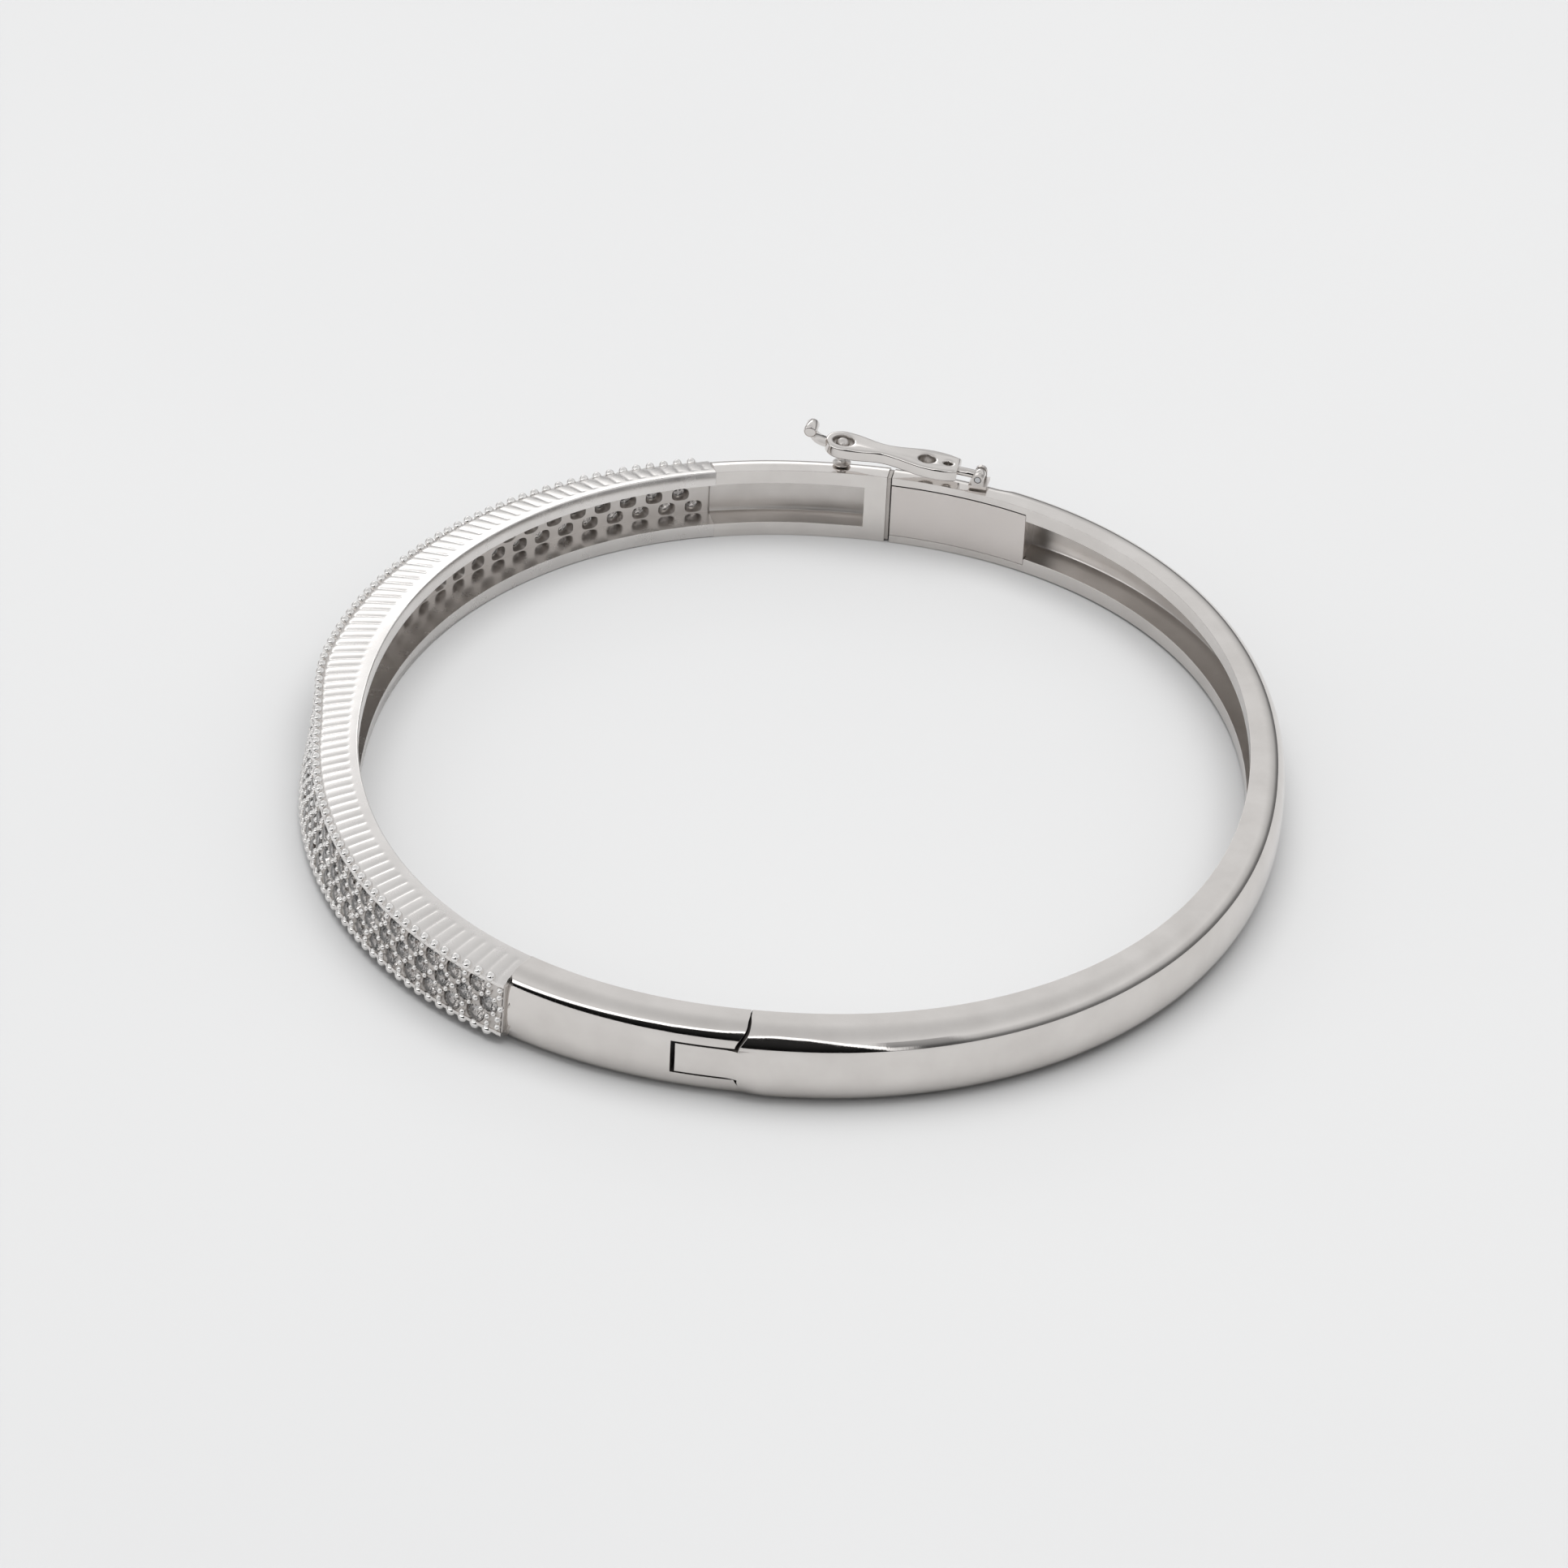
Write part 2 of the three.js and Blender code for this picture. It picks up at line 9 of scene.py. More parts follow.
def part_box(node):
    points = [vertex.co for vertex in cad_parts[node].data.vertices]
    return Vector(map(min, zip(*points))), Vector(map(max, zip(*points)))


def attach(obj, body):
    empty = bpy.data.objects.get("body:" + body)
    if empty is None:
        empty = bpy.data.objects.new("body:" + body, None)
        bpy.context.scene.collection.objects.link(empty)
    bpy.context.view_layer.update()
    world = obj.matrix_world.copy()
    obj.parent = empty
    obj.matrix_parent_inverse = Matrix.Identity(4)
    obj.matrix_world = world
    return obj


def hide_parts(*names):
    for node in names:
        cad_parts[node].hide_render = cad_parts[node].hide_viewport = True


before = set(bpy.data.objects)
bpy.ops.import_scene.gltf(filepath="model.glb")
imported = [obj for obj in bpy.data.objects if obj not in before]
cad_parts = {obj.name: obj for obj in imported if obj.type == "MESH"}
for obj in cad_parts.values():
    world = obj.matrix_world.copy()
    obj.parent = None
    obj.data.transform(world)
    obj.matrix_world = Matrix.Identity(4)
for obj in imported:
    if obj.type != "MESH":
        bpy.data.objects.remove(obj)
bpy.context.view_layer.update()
MM = 0.001

# ---- The band's driving sizes, in mm, the same as the solids' ----

# The inner oval's two widths and its superellipse power. A station is the run along it, counter-clockwise,
# from its +Y end; out is measured from it outwards, and up from the band's mid height.
WIDE, LONG, POWER = 50.6, 58.0, 2.13
HEIGHT = 4.5
MID = HEIGHT / 2
CLASP_SEAM, CLASP_GAP, HINGE_GAP = -2.6, 0.3, 0.22
END_THICKNESS = 2.1
# What is left outside and beside the front half's hollow, and how far the hinge's solid block reaches.
CHANNEL_SKIN, LIP, BLOCK = 0.65, 0.9, 7
# The D section's powers; the back half's change from the oval's ends to its sides.
FRONT_ROUND, BACK_ROUND = 3.2, (2.9, 2.5)
CORNER = 0.035
METAL_SLOT = "polished_white_metal"


def oval_table():
    """Points of the inner oval and the run along it at each."""
    t = np.linspace(0, 2 * math.pi, 40001)
    c, s = np.cos(t), np.sin(t)
    x = np.sign(c) * np.abs(c) ** (2 / POWER) * WIDE / 2
    y = np.sign(s) * np.abs(s) ** (2 / POWER) * LONG / 2
    run = np.concatenate([[0], np.cumsum(np.hypot(np.diff(x), np.diff(y)))])
    return x, y, run


OVAL_X, OVAL_Y, OVAL_RUN = oval_table()
TURN = OVAL_RUN[-1]
HINGE_SEAM = TURN / 2 - 0.6
BACK_END = TURN + CLASP_SEAM
HINGE_AT, PIN_OUT = HINGE_SEAM - 1.8, 1.3
PAVE_FROM, PAVE_TO = 7.95, TURN / 2 - 13.3


def oval(station):
    run = np.mod(0.25 + np.asarray(station, float) / TURN, 1) * TURN
    return np.interp(run, OVAL_RUN, OVAL_X), np.interp(run, OVAL_RUN, OVAL_Y)


def outward(station):
    x, y = oval(station)
    nx = np.sign(x) * np.abs(2 * x / WIDE) ** (POWER - 1) / WIDE
    ny = np.sign(y) * np.abs(2 * y / LONG) ** (POWER - 1) / LONG
    size = np.hypot(nx, ny)
    return nx / size, ny / size


def place(station, out, height):
    """Points in the row's frame, in mm."""
    x, y = oval(station)
    nx, ny = outward(station)
    out, height = np.broadcast_arrays(out, height)
    return np.stack(np.broadcast_arrays(x + nx * out + SHIFT[0], y + ny * out + SHIFT[1], height), -1)


def sideways(station):
    """0 at the oval's two ends, 1 at its sides."""
    return (2 * oval(station)[0] / WIDE) ** 2


def smooth(x, lo, hi):
    t = np.clip((np.asarray(x, float) - lo) / (hi - lo), 0, 1)
    return t * t * (3 - 2 * t)


def mix(a, b, t):
    return a + (b - a) * t


def oval_shift():
    """The row's origin is under the middle of the whole object, not of the oval: the hinge pin says where."""
    pin_lo, pin_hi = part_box("hinge_pin")
    pin_mid = (pin_lo + pin_hi) / 2 / MM
    x, y = oval(HINGE_AT)
    nx, ny = outward(HINGE_AT)
    return pin_mid[0] - (x + nx * PIN_OUT), pin_mid[1] - (y + ny * PIN_OUT)


SHIFT = oval_shift()
FRONT_WIDEST, BACK_THICKEST = 2.95, 2.45
FRONT_LEAN, LEAN_HALF = 0.8, 1.75


def front_thickness(s):
    return mix(END_THICKNESS, FRONT_WIDEST, sideways(s))


def lean_back(s):
    """The front half's outer face leans back towards its top, from the oval's side on towards the hinge."""
    return FRONT_LEAN * smooth(s, TURN / 4 - 5, TURN / 4 + 4) * sideways(s)


def set_back(s, up):
    """How far that lean takes the outer face inwards at a height."""
    return lean_back(s) * (np.asarray(up, float) / LEAN_HALF + 1) / 2


def lean_angle(s):
    return math.atan(float(lean_back(s)) / (2 * LEAN_HALF))


def front_depth(s, up):
    return front_thickness(s) - set_back(s, up)


def leaned(s, out, up):
    return out * front_depth(s, up) / front_thickness(s)


def back_thickness(s):
    full = mix(BACK_THICKEST, END_THICKNESS, sideways(s))
    fall = 1 - smooth(s, TURN - 9.8, TURN - 9.0)
    return mix(END_THICKNESS, full, fall)


def shoulder(s, up):
    """Next to the hinge the tongue swells from the front half's thickness to the back half's, but the edge
    above it stands proud at once."""
    swell = smooth(s, HINGE_SEAM - 0.9, HINGE_SEAM + 1.2)
    edge = smooth(up, 0.85, 1.1) * (s > HINGE_SEAM)
    return mix(front_thickness(s) / back_thickness(s), 1.0, np.maximum(swell, edge))


# ---- Meshes ----

# What a face's tag says it is. A piece with several materials has them in this order. The darker metals that
# the hollow, joint and dull faces get are painted shade.
SHOWN, HOLLOW, JOINT, DULL_SHADED = 0, 1, 2, 3
WELD, TINY = 0.0004 * MM, 1e-9


def new_piece(name, verts, faces, tags, finish, body, replaces=(), slot=METAL_SLOT, sharp=32, bevel=0.0):
    """finish is one material, or several that the faces' tags choose between."""
    mesh = bpy.data.meshes.new(name)
    mesh.from_pydata((np.asarray(verts, float) * MM).tolist(), [], faces)
    for material in finish if isinstance(finish, (list, tuple)) else [finish]:
        mesh.materials.append(material)
    mesh.polygons.foreach_set("material_index", tags)
    mesh.validate()
    tidy = bmesh.new()
    tidy.from_mesh(mesh)
    bmesh.ops.remove_doubles(tidy, verts=tidy.verts, dist=WELD)
    bmesh.ops.dissolve_degenerate(tidy, edges=tidy.edges, dist=WELD)
    bmesh.ops.recalc_face_normals(tidy, faces=tidy.faces)
    tidy.to_mesh(mesh)
    tidy.free()
    mesh.shade_smooth()
    mesh.set_sharp_from_angle(angle=math.radians(sharp))
    obj = bpy.data.objects.new(name, mesh)
    bpy.context.scene.collection.objects.link(obj)
    if bevel:
        soften(obj, bevel)
    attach(obj, body)
    if replaces:
        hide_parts(*replaces)
    return obj


def soften(obj, width):
    """Rounds the edges that turn by more than 40 degrees."""
    mod = obj.modifiers.new("edge_softening", "BEVEL")
    mod.width = width * MM
    mod.segments = 2
    mod.limit_method = "ANGLE"
    mod.angle_limit = math.radians(40)
    mod.harden_normals = True


class Build:
    """Collects vertices, faces and the faces' tags of one piece."""

    def __init__(self):
        self.verts, self.faces, self.tags = [], [], []

    def add(self, verts, faces, tags=None):
        base = len(self.verts)
        self.verts.extend(np.asarray(verts, float).tolist())
        self.faces.extend([tuple(base + i for i in f) for f in faces])
        self.tags.extend(tags or [0] * len(faces))

    def join(self, other):
        self.add(other.verts, other.faces, other.tags)

    def piece(self, name, *args, **kwargs):
        return new_piece(name, self.verts, self.faces, self.tags, *args, **kwargs)


def dome_contour(flat, power):
    """Outer contour of a D section, from the bottom inner corner round to the top: x 0..1, y -1..1."""
    t = np.linspace(-math.pi / 2, math.pi / 2, 2001)
    x = flat + (1 - flat) * np.abs(np.cos(t)) ** (2 / power)
    y = np.sign(np.sin(t)) * np.abs(np.sin(t)) ** (2 / power)
    x = np.concatenate([[0], x, [0]])
    y = np.concatenate([[-1], y, [1]])
    return x, y


def spread(x, y, count, bend=2.2):
    """Resamples a contour to count points, closer together where it bends."""
    keep = np.concatenate([[True], np.hypot(np.diff(x), np.diff(y)) > TINY])
    x, y = x[keep], y[keep]
    dx, dy = np.diff(x), np.diff(y)
    length = np.hypot(dx, dy)
    angle = np.unwrap(np.arctan2(dy, dx))
    turn = np.concatenate([[0], np.abs(np.diff(angle))])
    weight = length / length.sum() + bend * turn / max(turn.sum(), TINY)
    run = np.concatenate([[0], np.cumsum(weight)])
    at = np.linspace(0, run[-1], count)
    return np.interp(at, run, x), np.interp(at, run, y)


def ring_points(thickness, half, flat, power, stops, counts):
    """D contour as outs and ups, passing through the ups in stops, with counts points between them."""
    x, y = dome_contour(flat, power)
    x, y = x * thickness, y * half
    outs, ups = [], []
    edges = [-half - 1] + list(stops) + [half + 1]
    for k in range(len(edges) - 1):
        lo, hi = edges[k], edges[k + 1]
        inside = (y > lo + TINY) & (y < hi - TINY)
        px, py = x[inside], y[inside]
        if k > 0:
            cross = np.interp(lo, y[1:-1], x[1:-1])
            px, py = np.concatenate([[cross], px]), np.concatenate([[lo], py])
        if k < len(edges) - 2:
            cross = np.interp(hi, y[1:-1], x[1:-1])
            px, py = np.concatenate([px, [cross]]), np.concatenate([py, [hi]])
        sx, sy = spread(px, py, counts[k])
        if k:
            sx, sy = sx[1:], sy[1:]
        outs.append(sx)
        ups.append(sy)
    return np.concatenate(outs), np.concatenate(ups)


def tube(build, rings, outer, slots=(), keep=None, hollow=None, caps=(SHOWN, SHOWN)):
    """Skins rings (n, k, 3). outer is the number of outer-contour points; the rest is the inner contour.
    A slot (i0, i1, j1, j2, m1, m2) is cut through between outer points j1..j2 and inner points m1..m2.
    keep (i0, i1, ...) is the reverse: between those rings only that part stays, as a tongue.
    hollow says which rings have a channel; caps gives the tags of the two end faces."""
    n, k, _ = rings.shape
    faces, tags = [], []

    def at(i, j):
        return i * k + j % k

    def face(corners, tag):
        faces.append(tuple(corners))
        tags.append(tag)

    def gone(i, j):
        for i0, i1, j1, j2, m1, m2 in slots:
            if i0 <= i < i1 and (j1 <= j < j2 or m1 <= j < m2):
                return True
        if keep:
            i0, i1, j1, j2, m1, m2 = keep
            if i0 <= i < i1 and not (j1 <= j < j2 or m1 <= j < m2):
                return True
        return False

    for i in range(n - 1):
        deep = hollow is not None and (hollow[i] or hollow[i + 1])
        for j in range(k):
            if not gone(i, j):
                inside = deep and outer <= j < k - 1
                face((at(i, j), at(i, j + 1), at(i + 1, j + 1), at(i + 1, j)), HOLLOW if inside else SHOWN)
    for i0, i1, j1, j2, m1, m2 in slots:
        for i in range(i0, min(i1, n - 1)):
            face((at(i, m1), at(i + 1, m1), at(i + 1, j2), at(i, j2)), JOINT)
            face((at(i + 1, j1), at(i + 1, m2), at(i, m2), at(i, j1)), JOINT)
        for i in (i0, i1):
            if i < n - 1:
                end = [at(i, j) for j in range(j1, j2 + 1)] + [at(i, j) for j in range(m1, m2 + 1)]
                face(end, JOINT)
    if keep:
        i0, i1, j1, j2, m1, m2 = keep
        for i in range(i0, i1):
            face((at(i + 1, j2), at(i + 1, m1), at(i, m1), at(i, j2)), JOINT)
            face((at(i, m2), at(i + 1, m2), at(i + 1, j1), at(i, j1)), JOINT)
        face([at(i0, j) for j in range(j1, j2 + 1)] + [at(i0, j) for j in range(m1, m2 + 1)], JOINT)
        face([at(i1, j) for j in range(j2, m1 + 1)], JOINT)
        face([at(i1, j) for j in range(m2, k + j1 + 1)], JOINT)
    for end, tag in ((0, caps[0]), (n - 1, caps[1])):
        if keep and end == keep[0]:
            continue
        cut = [s for s in slots if s[0] <= end <= s[1]]
        if cut:
            _, _, j1, j2, m1, m2 = cut[0]
            face([at(end, j) for j in range(j2, m1 + 1)], tag)
            face([at(end, j) for j in range(m2, k + j1 + 1)], tag)
        else:
            face([at(end, j) for j in range(k)], tag)
    build.add(rings.reshape(-1, 3), faces, tags)


# ---- Materials ----

def node_set(name):
    mat = bpy.data.materials.new(name)
    mat.use_nodes = True
    tree = mat.node_tree
    shader = next(n for n in tree.nodes if n.type == "BSDF_PRINCIPLED")
    coord = tree.nodes.new("ShaderNodeTexCoord")
    return mat, tree, shader, coord.outputs["Object"]


def noise(tree, source, scale, detail=3.0, stretch=None, rough=0.5):
    if stretch:
        mapping = tree.nodes.new("ShaderNodeMapping")
        mapping.inputs["Scale"].default_value = stretch
        tree.links.new(source, mapping.inputs["Vector"])
        source = mapping.outputs["Vector"]
    tex = tree.nodes.new("ShaderNodeTexNoise")
    tex.inputs["Scale"].default_value = scale
    tex.inputs["Detail"].default_value = detail
    tex.inputs["Roughness"].default_value = rough
    tree.links.new(source, tex.inputs["Vector"])
    return tex.outputs["Fac"]


def ranged(tree, source, lo, hi, src_lo=0.3, src_hi=0.7):
    node = tree.nodes.new("ShaderNodeMapRange")
    node.inputs["From Min"].default_value = src_lo
    node.inputs["From Max"].default_value = src_hi
    node.inputs["To Min"].default_value = lo
    node.inputs["To Max"].default_value = hi
    tree.links.new(source, node.inputs["Value"])
    return node.outputs["Result"]


def ramped(tree, source, stops):
    node = tree.nodes.new("ShaderNodeValToRGB")
    elements = node.color_ramp.elements
    elements[0].position, elements[1].position = stops[0][0], stops[-1][0]
    elements[0].color, elements[1].color = (*stops[0][1], 1), (*stops[-1][1], 1)
    for at, color in stops[1:-1]:
        elements.new(at).color = (*color, 1)
    tree.links.new(source, node.inputs["Fac"])
    return node.outputs["Color"]


def bumped(tree, source, distance, strength, onto=None):
    node = tree.nodes.new("ShaderNodeBump")
    node.inputs["Distance"].default_value = distance
    node.inputs["Strength"].default_value = strength
    tree.links.new(source, node.inputs["Height"])
    if onto:
        tree.links.new(onto, node.inputs["Normal"])
    return node.outputs["Normal"]


SCRATCH_GRAIN, SAW_GRAIN = (9000, 9000, 900), (1500, 1500, 14000)
RIPPLE_DEPTH, SCRATCH_DEPTH, SAW_DEPTH = 0.00004, 0.000004, 0.000006


def metal(name, dark, light, rough, ripple=0.0, scratch=0.0):
    """Polished or brushed metal: cloudy tone, uneven polish, slow ripples and fine scratches."""
    mat, tree, shader, at = node_set(name)
    shader.inputs["Metallic"].default_value = 1.0
    clouds = noise(tree, at, 420, 4)
    color = ramped(tree, clouds, [(0.3, dark), (0.7, light)])
    tree.links.new(color, shader.inputs["Base Color"])
    patches = noise(tree, at, 900, 5, rough=0.65)
    tree.links.new(ranged(tree, patches, rough[0], rough[1]), shader.inputs["Roughness"])
    slow = noise(tree, at, 260, 1.5)
    normal = bumped(tree, slow, RIPPLE_DEPTH, ripple)
    hair = noise(tree, at, 1.0, 3, stretch=SCRATCH_GRAIN)
    normal = bumped(tree, hair, SCRATCH_DEPTH, scratch, normal)
    tree.links.new(normal, shader.inputs["Normal"])
    return mat


POLISHED = metal("rhodium_polished", (0.665, 0.635, 0.61), (0.735, 0.705, 0.68), (0.03, 0.09), 0.3, 0.25)
# A brighter copy of the polish for the ribbed walls: the extra brightness is painted highlight.
BRIGHT_CUT_HIGHLIGHT = metal("rhodium_bright_cut_painted_highlight", (0.725, 0.7, 0.68), (0.79, 0.765, 0.745), (0.2, 0.3), 0.2, 0.3)
# A brighter copy of the polish for the beads: painted highlight.
BEADED = metal("rhodium_beads", (0.8, 0.78, 0.76), (0.88, 0.865, 0.85), (0.06, 0.16), 0.1, 0.2)
# A darker, rougher copy of the polish for the dull faces: the darkness is painted shade in the clasp's seam
# and in the catch's eyes.
INSIDE_SHADE = metal("rhodium_inside_painted_shade", (0.4, 0.375, 0.35), (0.52, 0.49, 0.465), (0.26, 0.42), 0.3, 0.5)
# A slightly darker, rougher copy of the polish for the hollows, the plate's back, the bead post and the catch
# lug: the darkness is painted shade.
LINING = metal("rhodium_lining", (0.62, 0.59, 0.565), (0.69, 0.66, 0.635), (0.28, 0.38), 0.15, 0.25)
# A darker copy of the polish for the seats and the end bars: painted shade between the stones.
DRILLED_SHADE = metal("rhodium_drilled_painted_shade", (0.47, 0.445, 0.425), (0.61, 0.58, 0.555), (0.25, 0.42), 0.2, 0.3)
PLATE = metal("rhodium_cover_plate", (0.64, 0.6, 0.575), (0.67, 0.63, 0.605), (0.22, 0.25), 0.0, 0.05)
SPRING = metal("spring_steel", (0.52, 0.52, 0.53), (0.64, 0.64, 0.65), (0.18, 0.3), 0.1, 0.8)


def joint_face():
    """Sawn faces that never meet the polishing wheel, painted near black with a noisy grain: painted shade,
    so that the seams and the slots read dark.
    """
    mat, tree, shader, at = node_set("joint_faces_painted_shade")
    shader.inputs["Metallic"].default_value = 0.2
    painted_shade_noise = noise(tree, at, 2600, 5, rough=0.7)
    color = ramped(tree, painted_shade_noise, [(0.35, (0.018, 0.015, 0.013)), (0.7, (0.07, 0.062, 0.056))])
    tree.links.new(color, shader.inputs["Base Color"])
    tree.links.new(ranged(tree, painted_shade_noise, 0.6, 0.85), shader.inputs["Roughness"])
    saw = noise(tree, at, 1.0, 2, stretch=SAW_GRAIN)
    tree.links.new(bumped(tree, saw, SAW_DEPTH, 0.4), shader.inputs["Normal"])
    return mat


JOINTS = joint_face()
FRONT_FINISH = (POLISHED, LINING, JOINTS, INSIDE_SHADE)
BACK_FINISH = (POLISHED, LINING, JOINTS)


# Painted tints for the stones: greys for their dark reflections and shade, a pink blush for fire.
STONE_SHADE_AND_FIRE_TINTS = [(0.0, (0.36, 0.345, 0.335)), (0.45, (0.56, 0.53, 0.51)),
                 (0.9, (0.42, 0.395, 0.375)), (1.0, (0.68, 0.5, 0.46))]


def crystal():
    """Clear stones, each with a painted tint of its own: greys for the dark reflections and shade in them,
    and now and then a blush for fire.
    """
    mat, tree, shader, at = node_set("clear_crystal")
    shader.inputs["Transmission Weight"].default_value = 1.0
    shader.inputs["IOR"].default_value = 2.0
    geometry = tree.nodes.new("ShaderNodeNewGeometry")
    tint = ramped(tree, geometry.outputs["Random Per Island"], STONE_SHADE_AND_FIRE_TINTS)
    tree.links.new(tint, shader.inputs["Base Color"])
    film = noise(tree, at, 1500, 2)
    tree.links.new(ranged(tree, film, 0.0, 0.03), shader.inputs["Roughness"])
    return mat


CRYSTAL = crystal()


# ---- Sections of the two bands ----

FLAT = 0.3
COUNTS = (34, 9, 34)
# A hollow's side, rounding into its floor, as parts of its depth and of its half width.
CHANNEL_LINE = [(0.6, 1.0), (0.86, 0.985), (0.96, 0.94), (1.0, 0.84)]


def channel_ring(depth, half, split, rebate=0.0, rebate_half=None):
    """The inner contour: a hollow, or a flat face where depth is 0, behind a shallow rebate if any."""
    rebate_half = rebate_half or half
    upper = [(0.0, rebate_half), (rebate, rebate_half), (rebate, half)]
    upper += [(max(rebate, o * depth), h * half) for o, h in CHANNEL_LINE]
    deep = max(rebate, depth)
    pts = upper + [(deep, split), (deep, -split)] + [(o, -h) for o, h in reversed(upper)]
    return np.array([p[0] for p in pts]), np.array([p[1] for p in pts]), len(upper)


def band_ring(thickness, half, power, split, depth, rebate=0.0, rebate_half=None):
    """A section's outs and ups, its number of outer points, and where a slot from -split to split cuts it."""
    out, up = ring_points(thickness, half, FLAT, power, (-split, split), COUNTS)
    channel_out, channel_up, mark = channel_ring(depth, half - LIP, split, rebate, rebate_half)
    outer = len(out)
    j1 = COUNTS[0] - 1
    j2 = j1 + COUNTS[1] - 1
    m1 = outer + mark
    return np.concatenate([out, channel_out]), np.concatenate([up, channel_up]), outer, (j1, j2, m1, m1 + 1)


# ---- Front half: hinge end and clasp end, polished ----

FRONT_SPLIT = 1.0


def front_ring(s, hollow=False):
    depth = front_thickness(s) - CHANNEL_SKIN if hollow else 0.0
    return band_ring(front_thickness(s), MID, FRONT_ROUND, FRONT_SPLIT, depth)


def front_rings(stations, is_hollow):
    """Rings of the plain stretches of the front half, and which of them are hollow."""
    rings, hollow = [], []
    for s in stations:
        hollow.append(bool(is_hollow(s)))
        out, up, outer, _ = front_ring(s, hollow[-1])
        rings.append(place(s, leaned(s, out, up), up + MID))
    return rings, hollow, outer


def seam_shift(up):
    """The hinge seam's curve: it swings towards the front half at mid height, and back at both edges."""
    return mix(-0.42, 0.14, smooth(np.abs(up), 0.95, 2.2))


def seam_gap(out, up):
    """Half the hinge seam's gap: a hairline at the inner face and under the tongue, wider outside the pin."""
    return mix(0.035, 0.085, smooth(out, 0.5, 1.3)) * mix(0.35, 1.0, smooth(up, -1.4, -0.9))


TONGUE_LENGTH = 1.7
TAIL_RADIUS = math.hypot(TONGUE_LENGTH, 0.8)
SLOT_LENGTH = (1.87, 1.92)


def knuckle_tail(out):
    """The tongue's end, round about the hinge pin."""
    return HINGE_AT - np.sqrt(TAIL_RADIUS ** 2 - np.clip(np.abs(out - PIN_OUT), 0, 1.8) ** 2)


def slot_end(out):
    """The slot's end behind it, a little further off at the outer face than at the inner one."""
    return HINGE_AT - mix(*SLOT_LENGTH, out / END_THICKNESS)


def steps(a, b, size):
    return np.linspace(a, b, max(2, int(round(abs(b - a) / size)) + 1))


RING_STEP, STEP_WIDTH = 0.35, 0.02


def front_hinge_end():
    """From the pave to the seam: hollow, then a solid block, then two ears with the tongue's slot between."""
    block = HINGE_SEAM - BLOCK
    first = steps(PAVE_TO, block, RING_STEP)
    second = steps(block + STEP_WIDTH, HINGE_AT - 2.3, RING_STEP)
    rings, hollow, outer = front_rings(np.concatenate([first, second]), lambda s: s <= block)
    i_slot = len(rings)
    for f in np.linspace(0, 1, 14):
        s = mix(HINGE_AT - SLOT_LENGTH[1], HINGE_SEAM, f)
        out, up, outer, marks = front_ring(s)
        end = HINGE_SEAM - seam_gap(out, up) + seam_shift(up)
        rings.append(place(mix(slot_end(out), end, f), out, up + MID))
        hollow.append(False)
    build = Build()
    slot = (i_slot, len(rings) - 1, *marks)
    tube(build, np.array(rings), outer, slots=[slot], hollow=hollow, caps=(SHOWN, JOINT))
    return build


def front_clasp_end():
    """From the clasp's end wall, which the spring tongue stands on, to the pave."""
    start = CLASP_SEAM + CLASP_GAP / 2
    wall = start + 1.35
    stations = np.concatenate([steps(start, wall, 0.25), steps(wall + STEP_WIDTH, PAVE_FROM, RING_STEP)])
    rings, hollow, outer = front_rings(stations, lambda s: s > wall)
    build = Build()
    # Its end face at the clasp takes the dark dull metal: painted shade in the clasp's seam.
    tube(build, np.array(rings), outer, hollow=hollow, caps=(DULL_SHADED, SHOWN))
    return build


def clasp_step():
    """The end of the front half that shows in the clasp's seam, a little smaller than the band, in the dark
    dull metal: painted shade in the seam.
    """
    build = Build()
    start = CLASP_SEAM + CLASP_GAP / 2
    out, up, outer, _ = front_ring(start)
    inset = 0.12
    out = inset + out * (1 - 2 * inset / front_thickness(start))
    up = up * (1 - inset / MID)
    rings = [place(s, out, up + MID) for s in (start - 0.22, start - 0.1, start + 0.05)]
    tube(build, np.array(rings), outer)
    build.tags = [DULL_SHADED] * len(build.tags)
    return build


# ---- Front half: the pave section ----

PROUD = 0.35
RIM_UP, PLATE_UP = 1.72, 1.4
PLATE_DEPTH, PLATE_SINK = 1.0, 0.1
STONES, STONE_R, ROW = 41, 0.57, 0.9
RIM, END_BAR = 0.3, 0.15
END_MARGIN = RIM + STONE_R + 0.05
PITCH = (PAVE_TO - PAVE_FROM - 2 * END_MARGIN) / (STONES - 0.5)
FIRST = PAVE_FROM + END_MARGIN
RIB_PITCH = PITCH / 2


def pave_out(s, up):
    """Where the walls' outer edges are; the plate lies PLATE_SINK below that."""
    return front_depth(s, up) + PROUD


def rib(s):
    """1 on the crest of a rib, 0 in the groove between two: broad crests, narrow grooves."""
    phase = np.mod((s - FIRST) / RIB_PITCH + 0.5, 1) - 0.5
    return 1 - np.abs(2 * phase) ** 2.5


GROOVE, TROUGH, WALL_CHAMFER = 0.04, 0.12, 0.06


